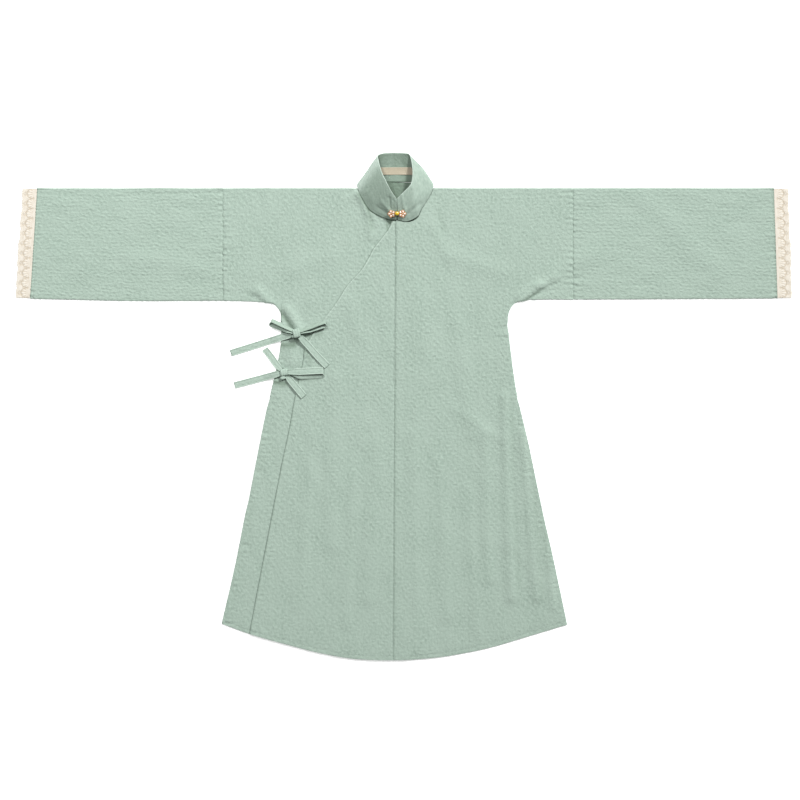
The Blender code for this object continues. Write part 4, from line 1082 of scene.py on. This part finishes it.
# %% Tie ribbons
def ribbon(middle, across, pinch, seed):
    """A strip along a middle line: eleven points across, raised at its folded edges, narrower where it is
    pinched."""
    run = np.gradient(middle, axis=0)
    normal = np.cross(run, across)
    normal /= np.linalg.norm(normal, axis=1)[:, None]
    walked = np.concatenate([[0], np.cumsum(np.linalg.norm(np.diff(middle, axis=0), axis=1))])
    share = np.array([-1, -0.94, -0.84, -0.7, -0.4, 0, 0.4, 0.7, 0.84, 0.94, 1.0])
    offset = share[None, :] * pinch[:, None] * RIBBON_WIDTH / 2
    raise_by = (0.35 * np.abs(share[None, :]) ** 6 - 0.35 * np.exp(-(((np.abs(share[None, :]) - 0.72) / 0.10) ** 2))
                + 0.22 * hills(walked[:, None], offset, 7, 6, seed))
    surface = middle[:, None] + across[:, None] * offset[..., None] + normal[:, None] * raise_by[..., None]
    cloth = Middle()
    cloth.weave(cloth.add(surface, normal[:, None], np.stack(np.broadcast_arrays(offset, walked[:, None]), -1)))
    return cloth, walked[-1]


tie_paths = {name: tail_path(*row) for name, row in TAILS.items()}
tie_paths.update({name: loop_path(*row) for name, row in LOOPS.items()})
tie_paths.update({name: open_loop_path(*row) for name, row in OPEN_LOOPS.items()})
for number, (name, (middle, across, pinch)) in enumerate(tie_paths.items()):
    cloth, length = ribbon(middle, across, pinch, 150 + number)
    points, faces, grain = cloth.solid(RIBBON_WALL)
    piece = make_piece(f"{name}_ribbon", points, faces, ribbon_cotton, (name,), grain)
    half = np.abs(grain[:, 0]) / (RIBBON_WIDTH / 2)
    # A painted highlight on the folded edges.
    mark_points(piece, "painted_highlight", 0.7 * np.clip((half - 0.86) / 0.08, 0, 1))
    # Painted shade: a line inside each folded edge, and over the far strand of each open loop.
    far_strand_shade = (name in OPEN_LOOPS) * np.clip((grain[:, 1] / length - 0.48) / 0.04, 0, 1)
    mark_points(piece, "inside", 0.30 * np.exp(-(((half - 0.72) / 0.08) ** 2)) + 0.26 * far_strand_shade)

# %% [markdown]
# ## The knots
# Each knot is the ribbon wrapped once round the others and pulled tight. A rounded block gives its mass,
# ridges that run with the wrap show the layers of ribbon, and a small roll beside it is the turn that goes
# under the tails. The block is a superellipsoid: an ellipsoid whose sines and cosines are raised to a power
# under one, which squares it off.

# %% Knot pieces
def lump(centre, half, rows, columns, power):
    """A superellipsoid as points and faces: rows from pole to pole, columns round it, with both poles
    closed."""
    p = np.linspace(-math.pi / 2, math.pi / 2, rows + 1)[1:-1, None]
    q = np.linspace(0, 2 * math.pi, columns, endpoint=False)[None, :]
    soft = lambda value: np.sign(value) * np.abs(value) ** power
    shape = np.stack([soft(np.cos(p)) * soft(np.cos(q)), soft(np.cos(p)) * soft(np.sin(q)),
                      soft(np.sin(p)) + 0 * q], -1)
    points = np.vstack([shape.reshape(-1, 3), (0, 0, -1), (0, 0, 1)]) * half + centre
    ring = np.arange((rows - 1) * columns).reshape(rows - 1, columns)
    wide = np.column_stack([ring, ring[:, :1]])
    faces = np.stack([wide[:-1, :-1], wide[:-1, 1:], wide[1:, 1:], wide[1:, :-1]], -1).reshape(-1, 4).tolist()
    low, high = (rows - 1) * columns, (rows - 1) * columns + 1
    faces += [(wide[0, i + 1], wide[0, i], low) for i in range(columns)]
    faces += [(wide[-1, i], wide[-1, i + 1], high) for i in range(columns)]
    return points, faces


KNOTS = {
    # name            knot        half sizes       turn  a small roll beside it: place from the knot, half sizes
    "upper_tie_knot": (UPPER_KNOT, (8.8, 10.4, 4.8), 0.25, ((-7.5, -7.0), (3.4, 3.4, 3.0))),
    "lower_tie_knot": (LOWER_KNOT, (9.6, 8.2, 4.5), 0.17, ((-3.4, -12.0), (5.4, 4.2, 3.0))),
}


def wrap(centre, half, turn):
    """A lump with ridges across it, narrower in the middle, turned on the cloth; and its grain."""
    points, faces = lump(np.zeros(3), np.array(half), 26, 48, 0.62)
    ridge = 0.05 * np.cos(2 * math.pi * points[:, 0] / 6.0 + 0.6) * np.clip(points[:, 2] / half[2] + 0.4, 0, 1)
    waist = 0.08 * np.exp(-((points[:, 0] / 3.5) ** 2)) * np.abs(points[:, 1]) / half[1]
    points = points * (0.98 + ridge - waist)[:, None]
    grain = np.column_stack([points[:, 0], points[:, 1] - points[:, 2]])
    c, s = math.cos(turn), math.sin(turn)
    turned = np.column_stack([points[:, 0] * c - points[:, 1] * s, points[:, 0] * s + points[:, 1] * c,
                              points[:, 2]])
    return centre + turned, faces, grain


for name, (knot, half, turn, (beside, roll)) in KNOTS.items():
    spots = np.array(knot) + np.array([(0, 0), (half[0], 0), (-half[0], 0), (0, half[1]), (0, -half[1])])
    base = cover(spots[:, 0], spots[:, 1]).max() + 0.3
    body, body_faces, body_grain = wrap(np.array((*knot, base + half[2])), half, turn)
    small_centre = np.array((knot[0] + beside[0], knot[1] + beside[1], base + roll[2] + 0.4))
    small, small_faces, small_grain = wrap(small_centre, roll, turn)
    points, faces = joined([(body, body_faces), (small, small_faces)])
    make_piece(f"{name}_wrap", points, faces, ribbon_cotton, (name,), np.vstack([body_grain, small_grain]))

# %% [markdown]
# ## Lace cuffs
# Each cuff ends in a cream cotton lace: a narrow tape beside the cloth, a row of arches filled with spokes,
# a thin net round them and a ribbed border at the wavy edge. Single threads would take millions of
# triangles. A sheet whose height follows the pattern shows the same relief, small holes open the net, and
# the dips get a tan painted shade.

# %% Lace sheet
LACE_WIDTH, LACE_REPEATS = 32.0, 11


def lace_place(side, layer, a, b, lift=0.0):
    """Where a point of the lace pattern lies: a in repeats along the cuff, b from the cloth (0) to the wavy
    edge (1)."""
    cut = SLEEVES[side]
    v = a / LACE_REPEATS
    y = CUFF_FOOT_Y + (SHOULDER_Y - CUFF_FOOT_Y) * v
    edge = cuff_edge(cut, v)
    wave = (1.5 * np.abs(np.sin(math.pi * a)) + 1.7 * hills(a, np.zeros_like(a), 1.3, 1.0, 160)) * b**2
    x = edge + cut["sign"] * (0.4 + (LACE_WIDTH - 0.9 - 0.6 * (1 - v)) * b + wave)
    if layer == "back":
        return np.stack([x, y, 0.5 + lift + 0 * x], -1)
    start = plain_front(edge + 0 * b, y) - 0.1
    return np.stack([x, y, start + (2.0 - start) * b + lift], -1)


FAN_REACH, FAN_MIDDLE, REPEAT = 9.7, 0.35, 22.0


def lace_relief(a, b):
    """Height of the pattern and where it is open. Arches filled with spokes stand in a row, and a thin ring
    of net goes round each. Small diamonds of net lie above their heads, and a ribbed border makes the outer
    edge."""
    u = (a - np.floor(a) - 0.5) * REPEAT
    up = (b - FAN_MIDDLE) * LACE_WIDTH
    far, angle = np.hypot(u, np.maximum(up, 0)), np.arctan2(u, up + 9.0)
    uneven = 0.5 + 0.5 * hills(3 * a, 9 * b, 1.0, 1.0, 170)
    ring = (np.abs(far - FAN_REACH - 0.6) < 0.75) & (up > -3.0) & (uneven > 0.22)
    gap = (np.abs(u) + 1.1 * np.abs(up - 13.5) < 3.4) | (np.abs(np.abs(u) - REPEAT / 2) + np.abs(up - 9.0) < 2.4)
    relief = 0.26 + 0.20 * np.cos(15 * angle) * np.clip((up + 9) / 9, 0, 1) * (far < FAN_REACH)
    relief = relief + 0.22 * np.exp(-(((far - 0.52 * FAN_REACH) / 0.8) ** 2)) * (up > -2)
    relief = relief - 0.34 * np.exp(-(((far - FAN_REACH - 0.6) / 1.2) ** 2)) * (up > -6) - 0.20 * uneven
    relief = relief - 0.26 * np.exp(-(((np.abs(u) + 1.1 * np.abs(up - 13.5) - 4.6) / 1.1) ** 2))
    relief = np.where(b < 0.08, 0.2 + 0.2 * np.cos(2 * math.pi * a * 10), relief)
    relief = np.where(b > 0.92, 0.25 + 0.25 * np.cos(2 * math.pi * a * 6.5), relief)
    return relief, ring | (gap & (uneven > 0.3))


def lace_mesh(cut_side, layer):
    """One band of lace as a sheet with relief: a small hole is left at every second place both ways where
    it is open."""
    a = np.linspace(0, LACE_REPEATS, LACE_REPEATS * 26 + 1)[:, None]
    b = np.linspace(0, 1, 31)[None, :]
    relief, _ = lace_relief(a, b)
    sheet = Middle()
    sheet.weave(sheet.add(lace_place(cut_side, layer, a + 0 * b, b + 0 * a, relief), (0, 0, 1), (0.0, 0.0)))
    _, open_here = lace_relief((a[1:] + a[:-1]) / 2, (b[:, 1:] + b[:, :-1]) / 2)
    row, column = np.indices(open_here.shape)
    sheet.faces = [sheet.faces[0][~(open_here & (row % 2 == 0) & (column % 2 == 1)).ravel()]]
    points, faces, _ = sheet.solid(0.6)
    # Painted shade: how much tan tone each point takes, more where the relief is low.
    low = np.clip(0.72 - relief / 0.32, 0.06, 0.8).ravel()
    return points, faces, np.concatenate([low, low, np.zeros(len(points) - 2 * len(low))])


# %% Lace finish and pieces
def thread_finish(name, light, deep, shade=(0.50, 0.43, 0.33, 1)):
    """Cotton thread: two tones in fine twists, and a tan painted shade where the point value "low" says
    the pattern dips."""
    finish, tree, surface = new_finish(name)
    twist = object_noise(tree, 900.0)
    tone = blend_colours(tree, ramp_between(tree, twist, 0.3, 0.7), deep, light)
    # The point value "low" mixes in painted shade.
    low = add_node(tree, "ShaderNodeAttribute", attribute_name="low").outputs["Fac"]
    tree.links.new(blend_colours(tree, low, tone, shade), surface.inputs["Base Color"])
    add_bump(tree, surface, twist, 0.5, 0.3 * MM)
    surface.inputs["Roughness"].default_value = 0.85
    surface.inputs["Specular IOR Level"].default_value = 0.2
    return finish


cream_thread = thread_finish("cream_thread", (0.71, 0.675, 0.605, 1), (0.62, 0.58, 0.51, 1))

for side in SLEEVES:
    for layer in ("front", "back"):
        points, faces, low = lace_mesh(side, layer)
        node = f"{side}_lace_{layer}"
        piece = make_piece(f"{node}_threads", points, faces, cream_thread, (node,))
        mark_points(piece, "low", low)
        print(f"{piece.name}: lace area {half_area(points, faces):.4f} square metres")

# %% [markdown]
# ## The clasp
# A small clasp closes the collar: a flower on each end and a round bead between. Each flower is a lobed
# metal plate with a wire round it, five cream petals and a grain in the middle. Plates and wires are
# profiles carried round an outline.

# %% Metal and enamel
def metal_finish(name, colour, roughness):
    """Cast metal: warm colour, darker in patches by a fine noise, and a soft uneven polish."""
    finish, tree, surface = new_finish(name)
    wear = object_noise(tree, 700.0)
    deep = tuple(c * 0.62 for c in colour[:3]) + (1,)
    tree.links.new(blend_colours(tree, ramp_between(tree, wear, 0.3, 0.6), deep, colour),
                   surface.inputs["Base Color"])
    tree.links.new(blend_values(tree, "ADD", blend_values(tree, "MULTIPLY", wear, 0.2), roughness),
                   surface.inputs["Roughness"])
    surface.inputs["Metallic"].default_value = 0.8
    return finish


def gloss_finish(name, colour, deep, roughness):
    """A glossy coloured bead or enamel: clouded colour under a clear coat."""
    finish, tree, surface = new_finish(name)
    cloud = object_noise(tree, 260.0)
    tree.links.new(blend_colours(tree, ramp_between(tree, cloud, 0.3, 0.7), deep, colour),
                   surface.inputs["Base Color"])
    surface.inputs["Roughness"].default_value = roughness
    surface.inputs["Coat Weight"].default_value = 0.6
    surface.inputs["Coat Roughness"].default_value = 0.08
    return finish


rose_gold = metal_finish("rose_gold", (1.0, 0.52, 0.24, 1), 0.30)
cream_enamel = gloss_finish("cream_enamel", (1.0, 0.95, 0.88, 1), (0.96, 0.80, 0.66, 1), 0.25)
amber_bead = gloss_finish("amber_bead", (0.80, 0.56, 0.03, 1), (0.58, 0.36, 0.01, 1), 0.18)
print("clasp finishes ready")

# %% Clasp shapes
def clasp_frame(side):
    """Centre and three directions of one flower: along the collar, across it and out of it."""
    t = np.array([0.0, 1 / 3, 2 / 3]) if side == "right" else np.array([17 - 2 / 3, 17 - 1 / 3, 17.0])
    surface, normal = collar_at(t, np.linspace(0, 1, 13))
    row = 2 if side == "right" else 0
    spot, way = surface[row, 3], -normal[row, 3]
    along = np.cross((0, 1, 0), way)
    along /= np.linalg.norm(along)
    centre = np.array((-14.3 + (11.9 if side == "left" else -11.9), 422.6, spot[2] + 0.9 + 1.7))
    return centre, along, np.cross(way, along), way


def rounded_dome(outline, height, rings=6):
    """A closed cushion over an outline: rings shrink as a quarter ellipse rises, and the base is flat."""
    turn = np.linspace(0, math.pi / 2, rings + 1)[:-1]
    shrink, rise = np.cos(turn), np.sin(turn) * height
    centre = outline.mean(axis=0)
    rows = centre + (outline - centre)[None] * shrink[:, None, None]
    points = np.concatenate([rows, np.broadcast_to(rise[:, None, None], rows.shape[:2] + (1,))], -1)
    count = len(outline)
    flat = np.vstack([points.reshape(-1, 3), (*centre, height), (*centre, 0.0)])
    index = np.arange(rings * count).reshape(rings, count)
    wide = np.column_stack([index, index[:, :1]])
    faces = np.stack([wide[:-1, :-1], wide[:-1, 1:], wide[1:, 1:], wide[1:, :-1]], -1).reshape(-1, 4).tolist()
    faces += [(wide[-1, i], wide[-1, i + 1], rings * count) for i in range(count)]
    faces += [(wide[0, i + 1], wide[0, i], rings * count + 1) for i in range(count)]
    return flat, faces


def closed_wire(path, radius, sides=8):
    """A round wire along a closed path in the flower's own directions."""
    run = np.roll(path, -1, axis=0) - np.roll(path, 1, axis=0)
    run /= np.linalg.norm(run, axis=1)[:, None]
    aside = np.cross(run, (0, 0, 1.0))
    turn = np.linspace(0, 2 * math.pi, sides, endpoint=False)
    upward = np.array((0, 0, 1.0)) * (np.sin(turn) * radius)[:, None]
    ring = aside[:, None] * (np.cos(turn) * radius)[:, None] + upward
    points = (path[:, None] + ring).reshape(-1, 3)
    index = np.arange(len(points)).reshape(len(path), sides)
    wide = np.vstack([np.column_stack([index, index[:, :1]]), np.append(index[0], index[0, 0])])
    faces = np.stack([wide[:-1, 1:], wide[:-1, :-1], wide[1:, :-1], wide[1:, 1:]], -1)
    return points, faces.reshape(-1, 4).tolist()


# %% Clasp pieces
for side in ("left", "right"):
    centre, along, across, way = clasp_frame(side)
    turn_by = 0.0 if side == "left" else math.pi
    q = np.linspace(0, 2 * math.pi, 80, endpoint=False)
    rim = 7.9 * (1 + 0.14 * np.cos(5 * (q + turn_by)))
    outline = np.column_stack([np.cos(q) * rim, np.sin(q) * rim])
    metal = [rounded_dome(outline * 0.97, 0.9, 4),
             closed_wire(np.column_stack([outline * 0.95, np.full(80, 0.75)]), 0.42)]
    petals = []
    for k in range(5):
        angle = 2 * math.pi * k / 5 - turn_by
        c, s = math.cos(angle), math.sin(angle)
        p = np.linspace(0, 2 * math.pi, 28, endpoint=False)
        drop = np.column_stack([4.9 + 2.5 * np.cos(p), 2.0 * np.sin(p) * (1 + 0.3 * np.cos(p))])
        petals.append(drop @ np.array([(c, s), (-s, c)]))
        q2 = np.linspace(0, 2 * math.pi, 20, endpoint=False)
        curl_angle = angle + math.pi / 5
        curl = np.column_stack([5.0 * math.cos(curl_angle) + 0.9 * np.cos(q2),
                                5.0 * math.sin(curl_angle) + 0.9 * np.sin(q2)])
        metal.append(closed_wire(np.column_stack([curl, np.full(20, 0.95)]), 0.28, 6))
    grain_ring = np.column_stack([1.7 * np.cos(q[::4]), 1.7 * np.sin(q[::4])])
    metal.append((rounded_dome(grain_ring, 1.1, 5)[0] + (0, 0, 0.7), rounded_dome(grain_ring, 1.1, 5)[1]))
    basis = np.array([along, across, way])
    points, faces = joined(metal)
    make_piece(f"{side}_clasp_metal", centre + points @ basis, faces, rose_gold, (f"{side}_clasp",))
    domes = [rounded_dome(drop, 0.85, 5) for drop in petals]
    points, faces = joined([(dome + (0, 0, 0.7), face) for dome, face in domes])
    make_piece(f"{side}_clasp_petals", centre + points @ basis, faces, cream_enamel)

surface, _ = collar_at(np.array([0.0, 0.001]), np.linspace(0, 1, 13))
ending, _ = collar_at(np.array([16.999, 17.0]), np.linspace(0, 1, 13))
bead_z = (surface[0, 3, 2] + ending[-1, 3, 2]) / 2 + 0.9 + 4.7 + 0.4
points, faces = lump(np.array((-14.3, 422.6, bead_z)), np.array((4.7, 4.7, 4.7)), 20, 36, 1.0)
make_piece("clasp_bead_round", points, faces, amber_bead, ("clasp_bead",))

# %% [markdown]
# ## Stitches
# Hems, edges and cuffs are sewn with a fine thread. One stitch is a tiny spindle that dips into the cloth
# at both ends. It is set again and again along a seam line, at the height of the cloth there and turned
# along the seam.

# %% Stitch rows
STITCH_STEP = 3.4


def stitch_row(x, y, height):
    """Stitches along a plan line: spindles of 20 points at equal steps, turned along the line, on the given
    height."""
    walked = np.concatenate([[0], np.cumsum(np.hypot(np.diff(x), np.diff(y)))])
    spots = np.arange(STITCH_STEP, walked[-1] - 1, STITCH_STEP)
    px, py = np.interp(spots, walked, x), np.interp(spots, walked, y)
    ahead = np.column_stack([np.interp(spots + 0.7, walked, x) - np.interp(spots - 0.7, walked, x),
                             np.interp(spots + 0.7, walked, y) - np.interp(spots - 0.7, walked, y)])
    ahead /= np.linalg.norm(ahead, axis=1)[:, None]
    turn = np.linspace(0, 2 * math.pi, 6, endpoint=False)
    body = np.array([(f, 0.30 * g * math.cos(q), 0.22 * g * math.sin(q) + 0.12 * g - 0.12)
                     for f, g in ((-0.8, 0.75), (0.0, 1.0), (0.8, 0.75)) for q in turn])
    shape = np.vstack([body, (-1.2, 0, -0.2), (1.2, 0, -0.2)])
    aside = np.column_stack([-ahead[:, 1], ahead[:, 0]])
    flat = ahead[:, None] * shape[None, :, :1] + aside[:, None] * shape[None, :, 1:2]
    z = height(px, py)[:, None] + WALL / 2 + 0.12 + shape[None, :, 2]
    points = np.concatenate([np.column_stack([px, py])[:, None] + flat, z[..., None]], -1)
    faces = [(r * 6 + (k + 1) % 6, r * 6 + k, r * 6 + 6 + k, r * 6 + 6 + (k + 1) % 6)
             for r in range(2) for k in range(6)]
    faces += [(k, (k + 1) % 6, 18) for k in range(6)] + [(12 + (k + 1) % 6, 12 + k, 19) for k in range(6)]
    all_faces = [[n + 20 * m for n in face] for m in range(len(spots)) for face in faces]
    return points.reshape(-1, 3), all_faces


cotton_thread = thread_finish("sage_thread", (0.52, 0.63, 0.55, 1), (0.40, 0.50, 0.43, 1))


def stitched_piece(name, rows):
    """One piece of thread for several rows of stitches."""
    points, faces = joined([stitch_row(*row) for row in rows])
    return make_piece(name, points, faces, cotton_thread)


# %% Stitched seams
left_height = lambda x, y: body_front(LEFT, x, y)
right_height = lambda x, y: body_front(RIGHT, x, y)
free_y = np.linspace(SLIT_Y - 6, -468, 300)
hem_left = np.linspace(-12, 336, 300)
stitched_piece("left_body_stitches", [
    (at(LEFT["side"], free_y) - 10, free_y, left_height),
    (hem_left, at(HEM, hem_left) + 7.3, left_height)])
hem_right = np.linspace(-352, -388, 40)
stitched_piece("right_body_stitches", [
    (at(RIGHT["side"], free_y) + 10, free_y, right_height),
    (hem_right, at(HEM, hem_right) + 7.3, right_height)])
slant_y, side_y = np.linspace(400, 128, 250), np.linspace(118, -482, 300)
hem_over = np.linspace(-328, -24, 300)
stitched_piece("front_overlap_stitches", [
    (at(SLANT, slant_y) + 12.5, slant_y, overlap_front), (at(SLANT, side_y) + 10, side_y, overlap_front),
    (hem_over, at(HEM, hem_over) + 7.3, overlap_front)])
for side, cut in SLEEVES.items():
    v = np.linspace(0.01, 0.99, 120)
    cuff_x = cuff_edge(cut, v) - cut["sign"] * 5
    cuff_y = at(cut["under"], cuff_x) + (SHOULDER_Y - at(cut["under"], cuff_x)) * v
    stitched_piece(f"{side}_sleeve_stitches", [(cuff_x, cuff_y, lambda x, y, cut=cut: sleeve_front(cut, x, y))])

# %% [markdown]
# ## Floor, light and camera
# The shirt lies on a plain white floor and is seen from straight above. A big soft light from the upper
# right shows the folds, as on the real picture, and a paler one from the other side keeps the shadows open.

# %% Floor
floor_finish, tree, surface = new_finish("studio_floor")
surface.inputs["Base Color"].default_value = (0.90, 0.90, 0.90, 1)
surface.inputs["Emission Color"].default_value = (1, 1, 1, 1)
surface.inputs["Emission Strength"].default_value = 0.5
surface.inputs["Roughness"].default_value = 0.9
surface.inputs["Specular IOR Level"].default_value = 0.1
floor_mesh = bpy.data.meshes.new("floor")
floor_mesh.from_pydata([(-8, -8, -0.0003), (8, -8, -0.0003), (8, 8, -0.0003), (-8, 8, -0.0003)], [], [(0, 1, 2, 3)])
floor_mesh.materials.append(floor_finish)
floor = bpy.data.objects.new("floor", floor_mesh)
bpy.context.scene.collection.objects.link(floor)
floor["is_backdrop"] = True

# %% Lights and camera
def soft_light(name, place, size, power):
    """A square area light at a place, turned to face the middle of the shirt."""
    light = bpy.data.lights.new(name, "AREA")
    light.shape, light.size, light.energy = "SQUARE", size, power
    lamp = bpy.data.objects.new(name, light)
    bpy.context.scene.collection.objects.link(lamp)
    lamp.location = place
    away = np.array(place) / np.linalg.norm(place)
    lamp.rotation_euler = (math.acos(away[2]), 0, math.atan2(away[1], away[0]) + math.pi / 2)
    return lamp


soft_light("key_light", (6.3, 7.3, 7.4), 2.4, 1870)
soft_light("fill_light", (-1.2, 1.45, 2.7), 1.0, 55)
world = bpy.data.worlds.new("studio")
world.use_nodes = True
world.node_tree.nodes["Background"].inputs["Color"].default_value = (1, 1, 1, 1)
world.node_tree.nodes["Background"].inputs["Strength"].default_value = 0.20
bpy.context.scene.world = world
bpy.context.scene.view_settings.view_transform = "Standard"

camera_data = bpy.data.cameras.new("camera")
camera_data.lens, camera_data.sensor_width = 85.0, 36.0
camera = bpy.data.objects.new("camera", camera_data)
bpy.context.scene.collection.objects.link(camera)
camera.location = (-0.0077, 0.0142, 1.76 * 85 / 36)
bpy.context.scene.camera = camera
print("triangles in all:", sum(triangle_total.values()))

# %% Bounds of the scene
low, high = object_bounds()
